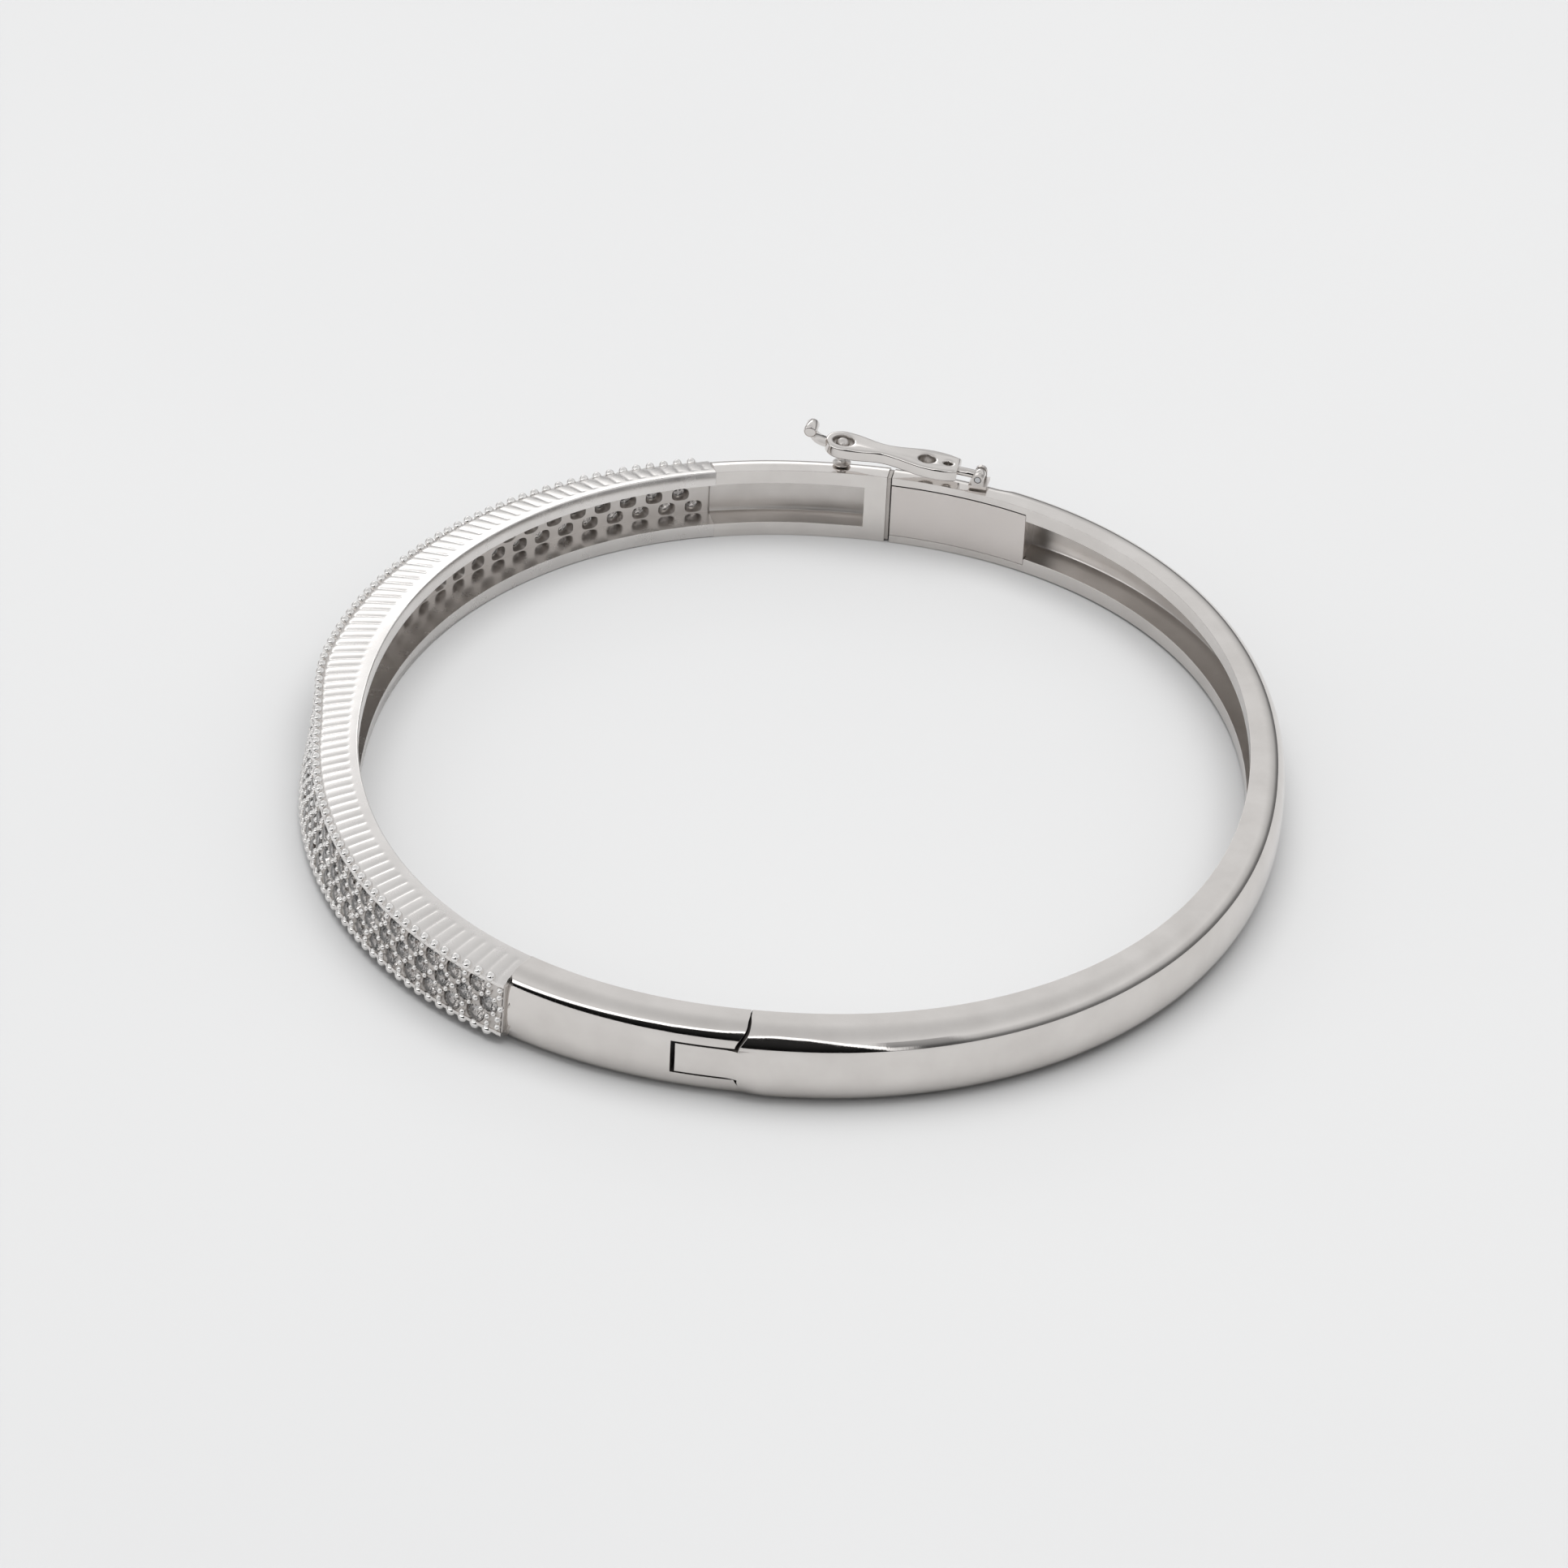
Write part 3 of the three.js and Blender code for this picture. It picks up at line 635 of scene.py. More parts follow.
def pave_wall(sign):
    """The ribbed wall above (sign 1) or below (sign -1) the stones."""
    across = np.concatenate([np.linspace(0.0, 0.3, 13), np.linspace(0.34, 0.97, 12), [0.985, 1.0]])
    margin = smooth(across, 0.2, 0.27)
    trough = smooth(across, 0.85, 0.92)
    rings = []
    for s in np.linspace(PAVE_FROM, PAVE_TO, int((PAVE_TO - PAVE_FROM) / RIB_PITCH * 11) + 1):
        far = pave_out(s, sign * RIM_UP)
        rim = pave_out(s, sign * PLATE_UP)
        depth = rim - PLATE_DEPTH
        slope = mix(MID, RIM_UP, across ** 1.35)
        cut = GROOVE * (1 - rib(s)) * margin + TROUGH * trough
        out = np.concatenate([[0.0, 0.0, WALL_CHAMFER], across[1:] * far, [rim, depth, depth, 0.0]])
        inner = [MID - LIP, MID - WALL_CHAMFER]
        up = np.concatenate([inner, slope - cut, [PLATE_UP, PLATE_UP, MID - LIP, MID - LIP]])
        rings.append(place(s, out, MID + sign * up))
    build = Build()
    tube(build, np.array(rings), len(rings[0]))
    return build


def rect_angles(wide, high, count):
    """Angles round a rectangle, through its corners: count[0] steps on each end, count[1] on each side."""
    corner = math.atan2(high, wide)
    marks = [-corner, corner, math.pi - corner, math.pi + corner, 2 * math.pi - corner]
    angles = []
    for k in range(4):
        angles += list(np.linspace(marks[k], marks[k + 1], count[k % 2] + 1)[:-1])
    return np.array(angles)


def seat_layers(edge, circle):
    """A seat's outlines from its face to its back, each with its depth: the round hole, narrowing, then the
    squarish opening that the hollow back shows."""
    square = np.sign(circle) * np.abs(circle) ** 0.7
    layers = [(edge, PLATE_SINK)]
    for radius, deep in ((0.585, 0.0), (0.56, 0.05), (0.555, 0.16)):
        layers.append((circle * radius, PLATE_SINK + deep))
    for deep in (0.56, 0.66):
        layers.append((circle * 0.3, deep))
    layers.append((square * np.array([0.46, 0.38]), PLATE_DEPTH - 0.06))
    layers.append((square * np.array([0.5, 0.41]), PLATE_DEPTH))
    layers.append((edge, PLATE_DEPTH))
    return layers


def seat(build, s0, up0, left, right, low, high):
    """One drilled seat: a brick of the pave plate with a tapering hole through it. All of it but its back is
    tagged HOLLOW, for the darker drilled metal: painted shade between the stones."""
    angles = rect_angles(PITCH, ROW, (4, 8))
    c, s = np.cos(angles), np.sin(angles)
    reach_x = np.where(c > 0, right, left)
    reach_y = np.where(s > 0, high, low)
    scale = np.minimum(reach_x / np.maximum(np.abs(c), TINY), reach_y / np.maximum(np.abs(s), TINY))
    edge = np.stack([c * scale, s * scale], 1)
    for x, y in ((right, -low), (right, high), (-left, high), (-left, -low)):
        edge[np.argmin((edge[:, 0] - x) ** 2 + (edge[:, 1] - y) ** 2)] = (x, y)
    layers = seat_layers(edge, np.stack([c, s], 1))
    verts = []
    for flat, deep in layers:
        station = s0 + flat[:, 0]
        up = up0 + flat[:, 1]
        verts.append(place(station, pave_out(station, up) - deep, MID + up))
    verts = np.concatenate(verts)
    n = len(angles)
    faces = []
    for k in range(len(layers) - 1):
        for i in range(n):
            j = (i + 1) % n
            faces.append((k * n + i, k * n + j, (k + 1) * n + j, (k + 1) * n + i))
    drilled = (len(layers) - 2) * n
    build.add(verts, faces, [HOLLOW] * drilled + [SHOWN] * (len(faces) - drilled))


def stone_places():
    """(column, station, height from the middle) of every stone."""
    for k in range(STONES):
        s = FIRST + k * PITCH
        yield k, s, ROW
        yield k, s + PITCH / 2, 0.0
        yield k, s, -ROW


def pave_plate():
    """The plate that holds the stones: bricks laid in three rows, the end ones reaching the end bars."""
    build = Build()
    half, tall = PITCH / 2, ROW / 2
    start, end = PAVE_FROM + RIM - 0.2, PAVE_TO - RIM + 0.2
    for k, s, up in stone_places():
        left = half if k > 0 else s - start
        right = half if k < STONES - 1 else end - s
        low = tall if up > -0.5 else PLATE_UP - ROW
        high = tall if up < 0.5 else PLATE_UP - ROW
        seat(build, s, up, left, right, low, high)
    return build


def pave_ends():
    """A bar between the walls at each end of the plate."""
    build = Build()
    bottom, top = -PLATE_UP - 0.05, PLATE_UP + 0.05
    for a, b in ((PAVE_FROM, PAVE_FROM + RIM - END_BAR), (PAVE_TO - RIM + END_BAR, PAVE_TO)):
        rings = []
        for s in np.linspace(a, b, 3):
            up = np.array([bottom, bottom, top, top])
            out = pave_out(s, up) + np.array([-PLATE_DEPTH, -0.14, -0.14, -PLATE_DEPTH])
            rings.append(place(s, out, MID + up))
        tube(build, np.array(rings), 4)
    return build


def ball(build, s, out, up, size, rounds=10, rows=6):
    """An ellipsoid of half-sizes size = (along, outward, up)."""
    nx, ny = outward(s)
    centre = place(s, out, MID + up)
    basis = np.array([[-ny, nx, 0], [nx, ny, 0], [0, 0, 1]])
    verts = [[0, 0, 1.0]]
    for r in range(1, rows):
        phi = math.pi * r / rows
        for k in range(rounds):
            a = 2 * math.pi * k / rounds
            verts.append([math.sin(phi) * math.cos(a), math.sin(phi) * math.sin(a), math.cos(phi)])
    verts.append([0, 0, -1.0])
    verts = np.array(verts) * np.array(size)
    faces = [(0, 1 + k, 1 + (k + 1) % rounds) for k in range(rounds)]
    for r in range(rows - 2):
        for k in range(rounds):
            a, b = 1 + r * rounds + k, 1 + r * rounds + (k + 1) % rounds
            faces.append((a, a + rounds, b + rounds, b))
    last = len(verts) - 1
    base = 1 + (rows - 2) * rounds
    faces += [(base + (k + 1) % rounds, base + k, last) for k in range(rounds)]
    build.add(centre + verts @ basis, faces)


def bead_prongs():
    """The little beads raised between the stones, nine to a column, and four more at the hinge end."""
    build = Build()
    rng = np.random.default_rng(7)

    def bead(s, up, r):
        if PAVE_FROM + 0.1 < s < PAVE_TO - 0.1:
            jig = rng.normal(0, 0.015, 2)
            size = r * rng.uniform(0.93, 1.07)
            out = pave_out(s, up) - PLATE_SINK + 0.02
            ball(build, s + jig[0], out, up + jig[1], (size, size * 1.05, size))

    for k in range(-1, STONES + 1):
        s = FIRST + k * PITCH
        for up in (1.22, 0.76, -0.76, -1.22):
            bead(s + PITCH / 2, up, 0.2)
        bead(s, 0.0, 0.21)
        for ds in (0.25, 0.75):
            for up in (0.45, -0.45):
                bead(s + ds * PITCH, up, 0.17)
    for up in (1.15, 0.7, -0.7, -1.15):
        bead(PAVE_TO - 0.25, up, 0.2)
    return build


# The edge's height, how far the bead sinks into it and sits in from it, and the bead's half-sizes.
EDGE_BEADS = ((RIM_UP, 0.13, -0.06, (0.29, 0.29, 0.29)), (-RIM_UP, 0.15, 0.08, (0.34, 0.26, 0.3)))


def edge_beads():
    """The rib ends: a bead on the upper outer edge and a scallop on the lower one."""
    build = Build()
    s = FIRST - RIB_PITCH * math.floor((FIRST - PAVE_FROM - 0.2) / RIB_PITCH)
    while s < PAVE_TO - 0.15:
        for edge, sink, inwards, size in EDGE_BEADS:
            ball(build, s, pave_out(s, edge) - sink, edge + inwards, size, 14, 9)
        s += RIB_PITCH
    return build


CROWN, GIRDLE, PAVILION, STONE_SINK = 0.17, 0.03, 0.42, 0.06
# The cut's rings, as parts of its radius and of its crown's or its pavilion's height.
TABLE_WIDE, STAR_WIDE, STAR_HIGH, LOWER_WIDE, LOWER_DEEP = 0.56, 0.78, 0.62, 0.45, 0.52


def brilliant(build, s0, up0, turn):
    """A round brilliant: table, star, kite and girdle facets, and a simplified pavilion."""
    r = STONE_R - 0.005

    def circle(radius, height, count, phase):
        angles = [phase + 2 * math.pi * i / count for i in range(count)]
        return [(radius * math.cos(a), radius * math.sin(a), height) for a in angles]

    step = 2 * math.pi / 16
    table = circle(TABLE_WIDE * r, CROWN, 8, turn + step)
    star = circle(STAR_WIDE * r, CROWN * STAR_HIGH, 8, turn)
    top = circle(r, 0.0, 16, turn)
    under = circle(r, -GIRDLE, 16, turn)
    lower = circle(LOWER_WIDE * r, -GIRDLE - PAVILION * LOWER_DEEP, 8, turn + step)
    tip = [(0, 0, -GIRDLE - PAVILION)]
    verts = np.array(table + star + top + under + lower + tip)
    # Where each ring starts: table, star, girdle's top and underside, lower ring, tip.
    T, S, G, U, L, C = 0, 8, 16, 32, 48, 56
    faces = [tuple(range(T, T + 8))]
    for i in range(8):
        j = (i + 1) % 8
        p = (i - 1) % 8
        faces.append((T + p, S + i, T + i))
        faces.append((T + i, S + i, G + (2 * i + 1) % 16, S + j))
        faces.append((S + i, G + 2 * i, G + (2 * i + 1) % 16))
        faces.append((S + i, G + (2 * i - 1) % 16, G + 2 * i))
        faces.append((U + 2 * i, L + i, U + (2 * i + 1) % 16))
        faces.append((U + (2 * i + 1) % 16, L + i, U + (2 * i + 2) % 16))
        faces.append((U + 2 * i, L + p, L + i))
        faces.append((L + p, C, L + i))
    for i in range(16):
        faces.append((G + i, U + i, U + (i + 1) % 16, G + (i + 1) % 16))
    nx, ny = outward(s0)
    c, d = math.cos(lean_angle(s0)), math.sin(lean_angle(s0))
    face = np.array([nx * c, ny * c, d])
    basis = np.array([[-ny, nx, 0], [-nx * d, -ny * d, c], face])
    centre = place(s0, pave_out(s0, up0), MID + up0) - face * (PLATE_SINK + STONE_SINK)
    build.add(centre + verts @ basis, faces)


# ---- Back half ----

# Distances from the clasp's end: to the end of the box's mouth, of the box, of its wall and of the plate.
MOUTH, BOX_END, BOX_WALL, PLATE_END = 0.75, 7.6, 8.4, 8.78
MOUTH_DEPTH, BOX_DEPTH = 1.3, 1.65
REBATE, REBATE_HALF = 0.4, 1.75
BACK_SKIN, BACK_NARROWER = 0.55, 0.5
NOTCH, NOTCH_HALF, TONGUE_HALF = 1.0, 0.55, 0.9


def back_ring(s, split):
    """A section of the back half, and whether it has a hollow or a rebate in it."""
    t = back_thickness(s)
    half = (HEIGHT - BACK_NARROWER * sideways(s)) / 2
    power = mix(*BACK_ROUND, sideways(s))
    from_clasp = BACK_END - s
    depth, rebate, rebate_half = 0.0, 0.0, None
    if from_clasp > BOX_WALL and s > HINGE_SEAM + BLOCK:
        depth = t - BACK_SKIN
    if from_clasp <= PLATE_END:
        rebate, rebate_half = REBATE, REBATE_HALF
        if from_clasp <= MOUTH:
            depth = MOUTH_DEPTH
        elif from_clasp <= BOX_END:
            depth = BOX_DEPTH
    ring = band_ring(t, half, power, split, depth, rebate, rebate_half)
    return *ring, depth > 0 or rebate > 0


def shouldered(ring_out, s, up):
    """Outs next to the hinge, and the station of the seam's back edge at each."""
    out = ring_out * shoulder(s, up)
    return out, HINGE_SEAM + seam_gap(out, up) + seam_shift(up)


def back_stations(settle, last):
    """Stations from the settled section to the clasp: close together, with one each side of every step."""
    marks = [HINGE_SEAM + BLOCK] + [BACK_END - d for d in (PLATE_END, BOX_WALL, BOX_END, NOTCH, MOUTH)]
    stops = [settle, *marks, last]
    stations = []
    for a, b in zip(stops[:-1], stops[1:]):
        stations.extend(steps(a + 0.012, b - 0.012, 0.4 if b - a > 3 else 0.2))
    stations[0], stations[-1] = settle + 0.3, last
    return stations


def back_band():
    """The tongue that the hinge pin goes through, the swelling next to it, the hollow band and the box."""
    rings, hollow = [], []
    for f in np.linspace(0, 1, 12)[:-1]:
        s = mix(HINGE_AT - TONGUE_LENGTH, HINGE_SEAM, f)
        out, up, outer, marks = band_ring(back_thickness(s), MID, FRONT_ROUND, TONGUE_HALF, 0.0)
        out, end = shouldered(out, s, up)
        rings.append(place(mix(knuckle_tail(out), end, f), out, up + MID))
        hollow.append(False)
    i_seam = len(rings)
    settle = HINGE_SEAM + 2.2
    for f in np.linspace(0, 1, 16):
        s = mix(HINGE_SEAM + HINGE_GAP / 2, settle, f)
        out, up, outer, marks, deep = back_ring(s, TONGUE_HALF)
        out, start = shouldered(out, s, up)
        rings.append(place(mix(start, settle, f), out, up + MID))
        hollow.append(deep)
    i_notch = None
    for s in back_stations(settle, BACK_END - CLASP_GAP / 2):
        split = mix(TONGUE_HALF, NOTCH_HALF, smooth(s, settle, TURN - 12))
        out, up, outer, marks, deep = back_ring(s, split)
        if i_notch is None and s > BACK_END - NOTCH:
            i_notch = len(rings)
        rings.append(place(s, out, up + MID))
        hollow.append(deep)
    build = Build()
    tube(build, np.array(rings), outer, slots=[(i_notch, len(rings) - 1, *marks)], keep=(0, i_seam, *marks),
         hollow=hollow, caps=(JOINT, HOLLOW))
    return build


def cover_plate():
    """The plate that closes the box, let into the inner face, with a hairline left above it."""
    out = np.array([0.0, 0.37, 0.37, 0.0])
    up = np.array([-1.735, -1.735, 1.68, 1.68])
    rings = []
    for s in steps(BACK_END - PLATE_END + 0.015, BACK_END - CLASP_GAP / 2, 0.3):
        rings.append(place(s, out, MID + up))
    build = Build()
    tube(build, np.array(rings), 4)
    return build


# ---- Safety catch and bead post ----

CATCH_TILT = math.radians(4.5)
CATCH_OUT, CATCH_UP = 1.05, 5.18
PIVOT, POST = place(-7.8, CATCH_OUT, CATCH_UP), place(0.4, CATCH_OUT, CATCH_UP)
REACH = float(np.linalg.norm(POST - PIVOT))
CATCH_THICK, CATCH_ROUND, LOBE = 0.8, 0.17, 1.1
# Where along the catch each eye is, and its radius: the post's, and two lesser ones.
EYES = ((REACH, 0.62), (3.3, 0.5), (2.0, 0.26))


def catch_frame():
    """The catch's own axes, as rows: along it towards the bead post, across it, and up through it."""
    flat = (POST - PIVOT) / REACH
    across = np.cross([0, 0, 1.0], flat)
    along = flat * math.cos(CATCH_TILT) + np.array([0, 0, math.sin(CATCH_TILT)])
    return np.array([along, across, np.cross(along, across)])


def bezier(a, b, c, d, count=14):
    """Points of a cubic from a, without its last point d."""
    t = np.linspace(0, 1, count, endpoint=False)[:, None]
    a, b, c, d = (np.array(p, float) for p in (a, b, c, d))
    return a * (1 - t) ** 3 + 3 * b * t * (1 - t) ** 2 + 3 * c * t * t * (1 - t) + d * t ** 3


def arc(x, radius, start, stop, count=40):
    """Points of an arc round (x, 0), without its last one."""
    angles = np.linspace(start, stop, count, endpoint=False)
    return np.stack([x + radius * np.cos(angles), radius * np.sin(angles)], 1)


def eight_outline():
    """The figure eight's edge: a short lobe at the pivot, a waist, and a round lobe at the post."""
    waist = REACH * 0.7
    side = [bezier((1.3, -0.8), (2.2, -1.2), (3.2, -1.22), (4.3, -0.9)),
            bezier((4.3, -0.9), (4.9, -0.75), (waist - 0.5, -0.6), (waist, -0.62)),
            bezier((waist, -0.62), (waist + 0.8, -0.65), (REACH - 1.1, -LOBE), (REACH, -LOBE))]
    near = np.concatenate(side)
    lobe = arc(REACH, LOBE, -math.pi / 2, math.pi / 2)
    return np.concatenate([near, lobe, np.array([[REACH, LOBE]]), near[::-1] * (1, -1)])


def eight_plate(build, frame_rows):
    """The plate, with a rounded edge all round and its eyes cut through."""
    curve = bpy.data.curves.new("eight_plate", "CURVE")
    curve.dimensions, curve.fill_mode = "2D", "BOTH"
    curve.extrude = CATCH_THICK / 2 - CATCH_ROUND
    curve.bevel_depth, curve.bevel_resolution, curve.offset = CATCH_ROUND, 3, -CATCH_ROUND
    for points in [eight_outline()] + [arc(x, radius, 0, 2 * math.pi) for x, radius in EYES]:
        spline = curve.splines.new("POLY")
        spline.points.add(len(points) - 1)
        for point, (x, y) in zip(spline.points, points):
            point.co = (x, y, 0, 1)
        spline.use_cyclic_u = True
    holder = bpy.data.objects.new("eight_plate", curve)
    bpy.context.scene.collection.objects.link(holder)
    bpy.context.view_layer.update()
    mesh = bpy.data.meshes.new_from_object(holder.evaluated_get(bpy.context.evaluated_depsgraph_get()))
    verts = np.array([v.co[:] for v in mesh.vertices])
    faces = [tuple(p.vertices) for p in mesh.polygons]
    tags = []
    for face in faces:
        corners = verts[list(face)]
        along, across, _ = corners.mean(0)
        upright = np.ptp(corners[:, 2]) > 0.02
        in_eye = any(math.hypot(along - x, across) < radius + 0.03 for x, radius in EYES)
        # The eyes' walls take the dark dull metal: painted shade in the eyes.
        tags.append(DULL_SHADED if upright and in_eye else SHOWN)
    build.add(PIVOT + verts @ frame_rows, faces, tags)
    bpy.data.objects.remove(holder)
    bpy.data.curves.remove(curve)
    bpy.data.meshes.remove(mesh)


def rounded_rod(build, start, stop, radius, rows, squash=1.0, rounds=20):
    """A rod with eased ends between two points of the catch's own frame."""
    start, stop = np.array(start, float), np.array(stop, float)
    axis = (stop - start) / np.linalg.norm(stop - start)
    side = np.cross(axis, [0, 0, 1.0] if abs(axis[2]) < 0.9 else [0, 1.0, 0])
    side /= np.linalg.norm(side)
    third = np.cross(axis, side)
    angles = np.linspace(0, 2 * math.pi, rounds, endpoint=False)
    ring = np.cos(angles)[:, None] * side + squash * np.sin(angles)[:, None] * third
    edge = 0.3 * radius
    shape = [(0.0, radius - edge), (edge * 0.3, radius - edge * 0.3), (edge, radius)]
    length = np.linalg.norm(stop - start)
    shape += [(length - d, r) for d, r in reversed(shape)]
    rings = [PIVOT + (start + axis * d + ring * r) @ rows for d, r in shape]
    tube(build, np.array(rings), rounds)


ROLL_HALF, ROLL_UP, ROLL_R = 0.55, 0.72, 0.4
BARREL_HALF, BARREL_R = 0.3, 0.36
ARM_END, ARM_R, ARM_SQUASH = 1.7, 0.3, 0.82
TAB_HALF, TAB_THICK_HALF = 0.45, 0.14
TAB_CHAMFER = (0.06, 0.05)


def tab_section():
    """An oblong with its corners cut, counter-clockwise from the lower left."""
    wide, high = TAB_HALF - TAB_CHAMFER[0], TAB_THICK_HALF - TAB_CHAMFER[1]
    lower = [(-TAB_HALF, -high), (-wide, -TAB_THICK_HALF), (wide, -TAB_THICK_HALF), (TAB_HALF, -high)]
    return lower + [(-across, -up) for across, up in lower]


def finger_tab(build, rows):
    """The strip that curls up past the lobe, for a fingernail."""
    start = np.array([REACH + LOBE - 0.3, -0.02])
    path = bezier(start, start + (0.55, -0.02), start + (1.0, 0.1), start + (1.2, 0.62), 12)
    last = len(path) - 1
    rings = []
    for k, (x, z) in enumerate(path):
        along, rise = path[min(k + 1, last)] - path[max(k - 1, 0)]
        size = math.hypot(along, rise)
        normal = np.array([-rise / size, 0, along / size])
        ring = [np.array([x, 0, z]) + normal * high + np.array([0, wide, 0]) for wide, high in tab_section()]
        rings.append(PIVOT + np.array(ring) @ rows)
    tube(build, np.array(rings), len(tab_section()))


def safety_catch():
    """The plate and its finger tab with a rolled end, the barrel on the pin, and the arm between."""
    rows = catch_frame()
    build = Build()
    eight_plate(build, rows)
    finger_tab(build, rows)
    roll = REACH + LOBE + 0.95
    rounded_rod(build, (roll, -ROLL_HALF, ROLL_UP), (roll, ROLL_HALF, ROLL_UP), ROLL_R, rows)
    rounded_rod(build, (0, -BARREL_HALF, 0), (0, BARREL_HALF, 0), BARREL_R, rows)
    rounded_rod(build, (0.1, 0, 0), (ARM_END, 0, 0), ARM_R, rows, ARM_SQUASH)
    return build


def bead_post():
    """A turned post: a flange, a neck and a ball that the catch's eye snaps over."""
    flange = [(0.0, 4.56), (0.5, 4.56), (0.55, 4.6), (0.55, 4.68), (0.5, 4.72)]
    neck = [(0.34, 4.8), (0.29, 4.95), (0.28, 5.5)]
    ball_at, ball_size = 5.9, 0.42
    profile = flange + neck
    for angle in np.linspace(math.asin(neck[-1][0] / ball_size), math.pi, 14):
        profile.append((ball_size * math.sin(angle), ball_at - ball_size * math.cos(angle)))
    rounds = 28
    turn = np.linspace(0, 2 * math.pi, rounds, endpoint=False)
    rings = []
    for radius, height in profile:
        r = max(radius, 0.005)
        x, y = POST[0] + r * np.cos(turn), POST[1] + r * np.sin(turn)
        rings.append(np.stack([x, y, np.full(rounds, height)], 1))
    build = Build()
    tube(build, np.array(rings), rounds)
    return build


# ---- Assembly ----

def joined(*parts):
    whole = Build()
    for part in parts:
        whole.join(part)
    return whole


def front_piece(build, name, finish, **look):
    """One of the pieces that stand in for the front half's band together."""
    build.piece(name, finish, "front_half", ["front_band"], **look)


ends = joined(front_hinge_end(), front_clasp_end(), clasp_step())
front_piece(ends, "front_band_polished_ends", FRONT_FINISH, bevel=CORNER)
back_band().piece("back_band_polished", BACK_FINISH, "back_half", ["back_band"], bevel=CORNER)
front_piece(joined(pave_wall(1), pave_wall(-1)), "pave_ribbed_walls", BRIGHT_CUT_HIGHLIGHT, sharp=55)
front_piece(pave_plate(), "pave_drilled_plate", (LINING, DRILLED_SHADE), sharp=35)
front_piece(pave_ends(), "pave_end_bars", DRILLED_SHADE, bevel=0.06)
front_piece(bead_prongs(), "pave_bead_prongs", BEADED, sharp=80)
front_piece(edge_beads(), "pave_edge_beads", BEADED, sharp=80)
plate = cover_plate()
plate.piece("box_cover_plate_satin", PLATE, "back_half", ["box_cover_plate"], "satin_white_metal", bevel=0.03)
catch = safety_catch()
catch.piece("figure_eight_catch_polished", FRONT_FINISH, "safety_catch", ["figure_eight_catch"], sharp=50)
bead_post().piece("bead_post_turned", LINING, "front_half", ["bead_post"], sharp=50)

rng = np.random.default_rng(3)
columns = [Build() for _ in range(STONES)]
for k, s, up in stone_places():
    brilliant(columns[k], s, up, rng.uniform(0, math.pi / 4))
for k, column in enumerate(columns):
    number = f"{k + 1:02d}"
    nodes = [f"stone_column_{number}"]
    column.piece(f"pave_stones_{number}", CRYSTAL, "front_half", nodes, "crystal", sharp=1)

# The nodes that stay as the CAD made them get a metal of their own.
KEPT_NODES = (("hinge_pin", SPRING), ("catch_pin", SPRING), ("tongue_fixed_leaf", SPRING),
              ("tongue_spring_leaf", SPRING), ("thumb_piece", POLISHED), ("catch_lug", LINING))
for name, finish in KEPT_NODES:
    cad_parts[name].data.materials.clear()
    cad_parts[name].data.materials.append(finish)
for name in ("tongue_fixed_leaf", "tongue_spring_leaf", "thumb_piece", "catch_lug"):
    soften(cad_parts[name], 0.05)


# ---- Floor, light and camera ----

floor_mat, tree, shader, at = node_set("pale_floor")
tone = ramped(tree, noise(tree, at, 14, 2), [(0.3, (0.497, 0.497, 0.498)), (0.7, (0.507, 0.507, 0.507))])
tree.links.new(tone, shader.inputs["Base Color"])
shader.inputs["Roughness"].default_value = 0.6
shader.inputs["Specular IOR Level"].default_value = 0.2
bpy.ops.mesh.primitive_plane_add(size=6.0, location=(0, 0, -0.00001))
floor = bpy.context.object
floor.name = "studio_floor"
floor.data.materials.append(floor_mat)


SKY_STRENGTH = 0.5
# The sky's brightness against how high it is, from 0 at the horizon to 1 overhead.
SKY_LEVELS = ((0.0, 0.3), (0.12, 0.45), (0.25, 1.1), (0.5, 1.72), (0.62, 1.68), (0.85, 1.45), (1.0, 1.35))
# How many degrees high the dark camera side reaches, against the turn in degrees.
DARK_TOPS = ((-90, 4), (-60, 9), (-10, 32), (-2, 55), (8, 48), (26, 0))
STRIP, SOFTBOX, DARKNESS, PATCH = 3.2, 3.4, 0.97, 0.5
SKY_TINT = (0.994, 0.998, 1.004)


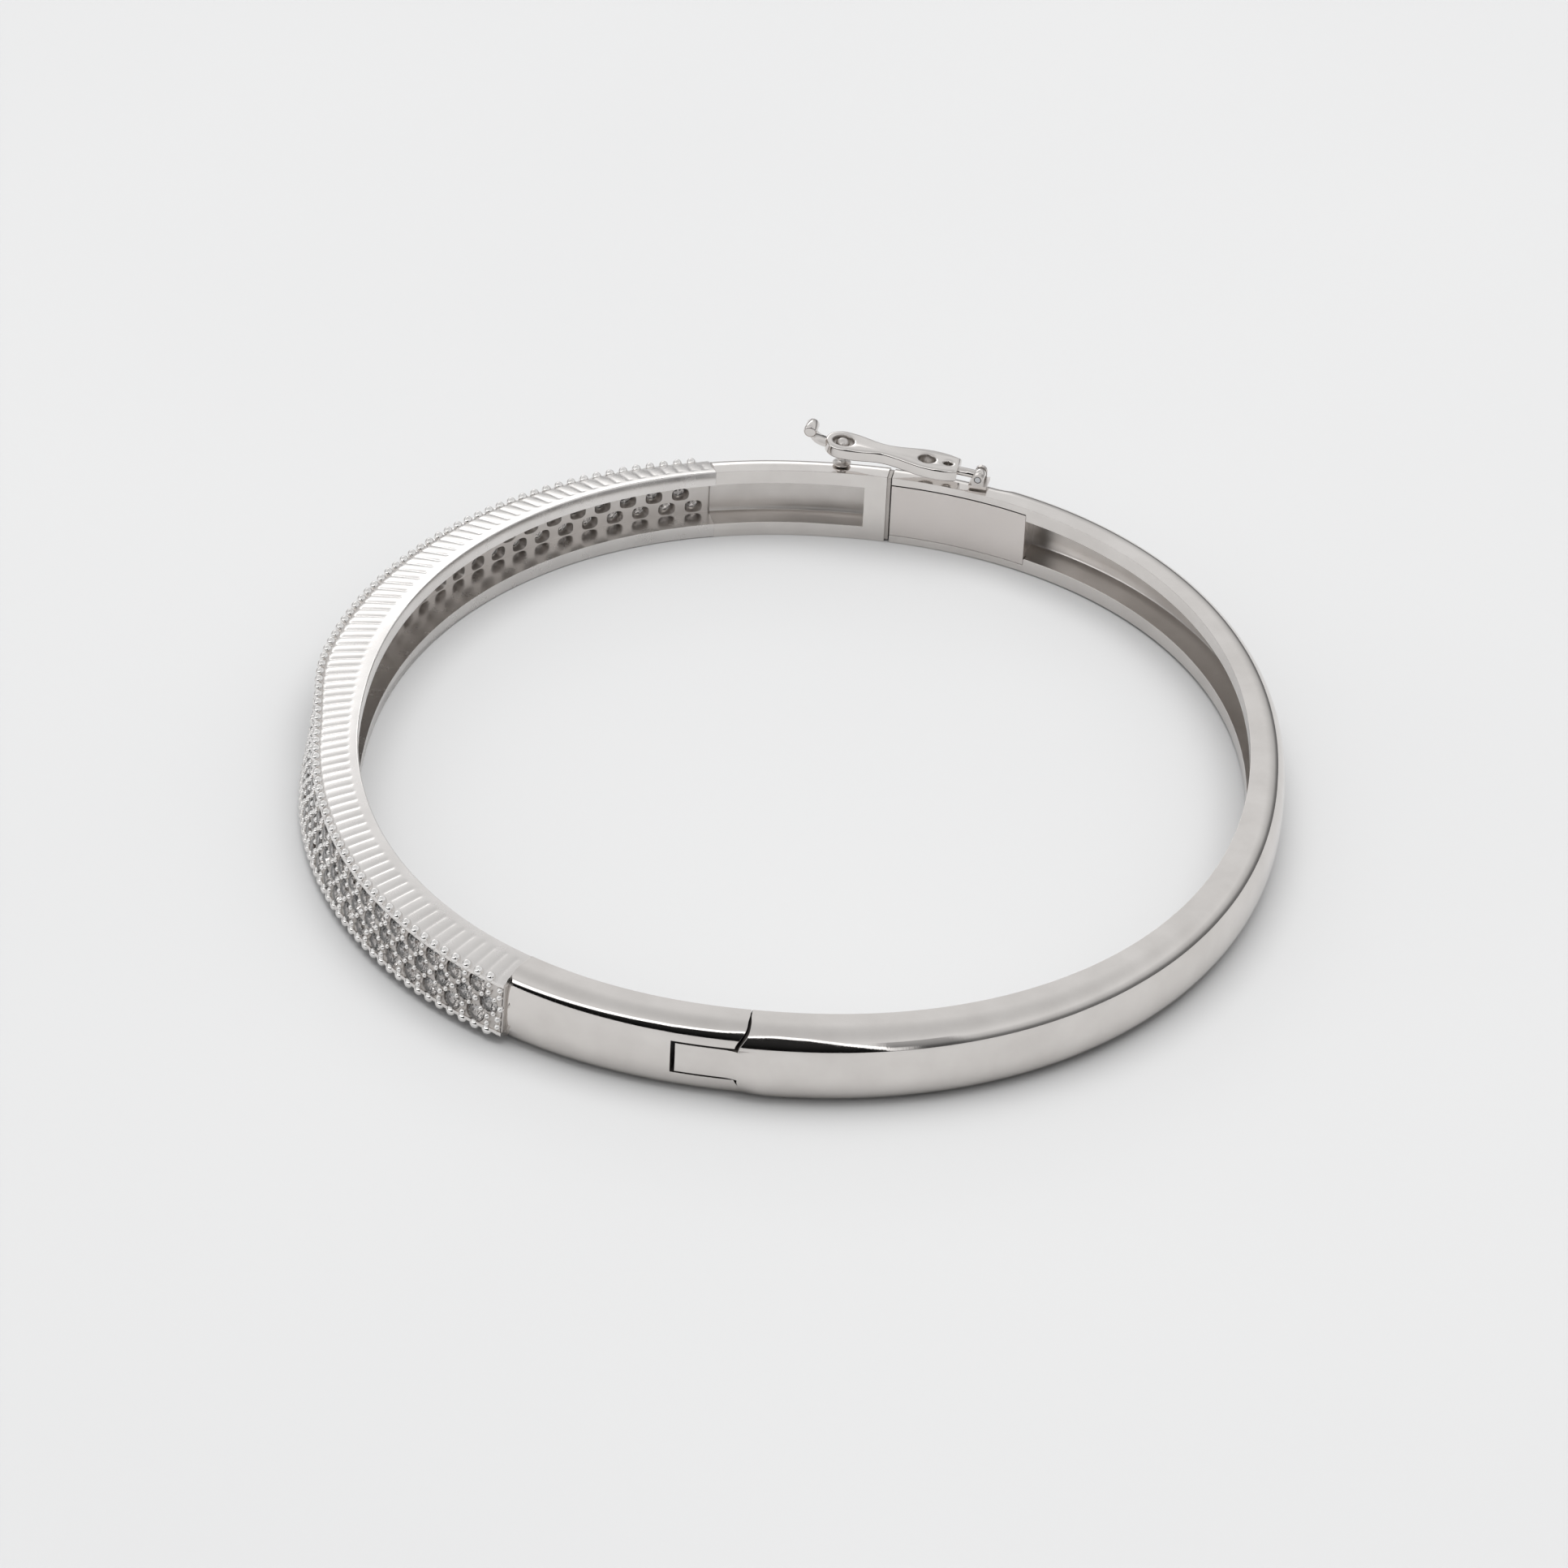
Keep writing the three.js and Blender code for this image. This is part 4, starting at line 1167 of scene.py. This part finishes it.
def sky():
    """A soft studio: dim near the horizon, pale all round above it, bright overhead, a softbox low on the far
    left, a dark camera side with a bright strip over it, and a grey patch to the right of that."""
    world = bpy.data.worlds.new("studio")
    bpy.context.scene.world = world
    world.use_nodes = True
    tree = world.node_tree
    background = next(n for n in tree.nodes if n.type == "BACKGROUND")
    coord = tree.nodes.new("ShaderNodeTexCoord")
    split = tree.nodes.new("ShaderNodeSeparateXYZ")
    tree.links.new(coord.outputs["Generated"], split.inputs[0])
    x, y, z = split.outputs

    def value(kind, *sources):
        node = tree.nodes.new("ShaderNodeMath")
        node.operation = kind
        for socket, source in zip(node.inputs, sources):
            if isinstance(source, (int, float)):
                socket.default_value = source
            else:
                tree.links.new(source, socket)
        return node.outputs[0]

    def step(source, lo, hi, a=0.0, b=1.0):
        node = tree.nodes.new("ShaderNodeMapRange")
        node.interpolation_type = "SMOOTHSTEP"
        for name, number in (("From Min", lo), ("From Max", hi), ("To Min", a), ("To Max", b)):
            node.inputs[name].default_value = number
        tree.links.new(source, node.inputs["Value"])
        return node.outputs["Result"]

    def grey_ramp(source, levels):
        """A value that runs through the levels as the source does."""
        node = tree.nodes.new("ShaderNodeRGBToBW")
        tree.links.new(ramped(tree, source, [(at, (v, v, v)) for at, v in levels]), node.inputs[0])
        return node.outputs[0]

    degrees = 180 / math.pi
    rise = value("MULTIPLY", value("ARCSINE", z), degrees)
    # 0 is the camera side, -Y; positive is to its right, +X.
    turn = value("MULTIPLY", value("ARCTAN2", x, value("MULTIPLY", y, -1.0)), degrees)
    far_turn = value("MULTIPLY", value("ARCTAN2", x, y), degrees)

    light = grey_ramp(z, SKY_LEVELS)
    tops = [(t / 180 + 0.5, v / 90) for t, v in DARK_TOPS]
    top = grey_ramp(value("ADD", value("DIVIDE", turn, 180.0), 0.5), tops)
    over = value("SUBTRACT", rise, value("MULTIPLY", top, 90.0))
    near = value("MULTIPLY", step(turn, -95, -75), step(turn, 34, 26))
    dark = value("MULTIPLY", near, value("MULTIPLY", step(over, 2.5, -2.5), step(rise, -4, -1)))
    strip = value("MULTIPLY", near, value("MULTIPLY", step(over, -1, 2), step(over, 15, 8)))
    box = value("MULTIPLY", step(far_turn, -42, -30), step(far_turn, 2, -6))
    foot = value("ADD", step(rise, 4, 8, 0.0, 0.22), step(rise, 15, 19, 0.0, 0.78))
    box = value("MULTIPLY", box, value("MULTIPLY", foot, step(rise, 29, 24)))
    added = value("ADD", value("MULTIPLY", strip, STRIP), value("MULTIPLY", box, SOFTBOX))
    light = value("ADD", light, added)
    light = value("MULTIPLY", light, value("SUBTRACT", 1.0, value("MULTIPLY", dark, DARKNESS)))
    patch = value("MULTIPLY", step(turn, 22, 27), step(turn, 47, 40))
    patch = value("MULTIPLY", patch, value("MULTIPLY", step(rise, -2, 1), step(rise, 38, 33)))
    light = value("MULTIPLY", light, value("SUBTRACT", 1.0, value("MULTIPLY", patch, PATCH)))
    colour = tree.nodes.new("ShaderNodeCombineColor")
    for socket, tone in zip(colour.inputs, SKY_TINT):
        tree.links.new(value("MULTIPLY", light, tone), socket)
    tree.links.new(colour.outputs[0], background.inputs["Color"])
    background.inputs["Strength"].default_value = SKY_STRENGTH


sky()


def area(name, where, size, power):
    """A soft light that faces the origin and leaves no highlight."""
    light = bpy.data.lights.new(name, "AREA")
    light.shape = "RECTANGLE"
    light.size, light.size_y = size
    light.energy = power
    light.spread = math.radians(150)
    obj = bpy.data.objects.new(name, light)
    obj.location = where
    obj.visible_glossy = False
    obj.rotation_mode = "QUATERNION"
    obj.rotation_quaternion = (-Vector(where)).to_track_quat("-Z", "Y")
    bpy.context.scene.collection.objects.link(obj)


area("overhead_softbox", (0.05, 0.1, 0.8), (1.0, 0.8), 6.0)

# The camera's turn, height and roll, in radians. In mm: its distance from the oval's middle, how far right of
# and below the view's centre that is, and its lens and sensor.
AZ, EL, ROLL = 0.0607, math.radians(32.44), 0.0492
DIST, ASIDE, BELOW = 400.2, 1.101353, 0.460059
LENS_LENGTH, SENSOR = 160.47019, 36.0
back = np.array([math.sin(AZ) * math.cos(EL), -math.cos(AZ) * math.cos(EL), math.sin(EL)])
right = np.array([math.cos(AZ), math.sin(AZ), 0.0])
up = np.cross(back, right)
cam_x = math.cos(ROLL) * right + math.sin(ROLL) * up
cam_y = -math.sin(ROLL) * right + math.cos(ROLL) * up
eye = (back * DIST - cam_x * ASIDE + cam_y * BELOW + np.array([*SHIFT, 0])) * MM
camera = bpy.data.objects.new("camera", bpy.data.cameras.new("camera"))
bpy.context.scene.collection.objects.link(camera)
camera.data.sensor_width = SENSOR
camera.data.lens = LENS_LENGTH
camera.data.clip_start, camera.data.clip_end = 0.01, 20
camera.matrix_world = Matrix((
    (cam_x[0], cam_y[0], back[0], eye[0]),
    (cam_x[1], cam_y[1], back[1], eye[1]),
    (cam_x[2], cam_y[2], back[2], eye[2]),
    (0, 0, 0, 1)))
bpy.context.scene.camera = camera
bpy.context.scene.view_settings.view_transform = "Standard"
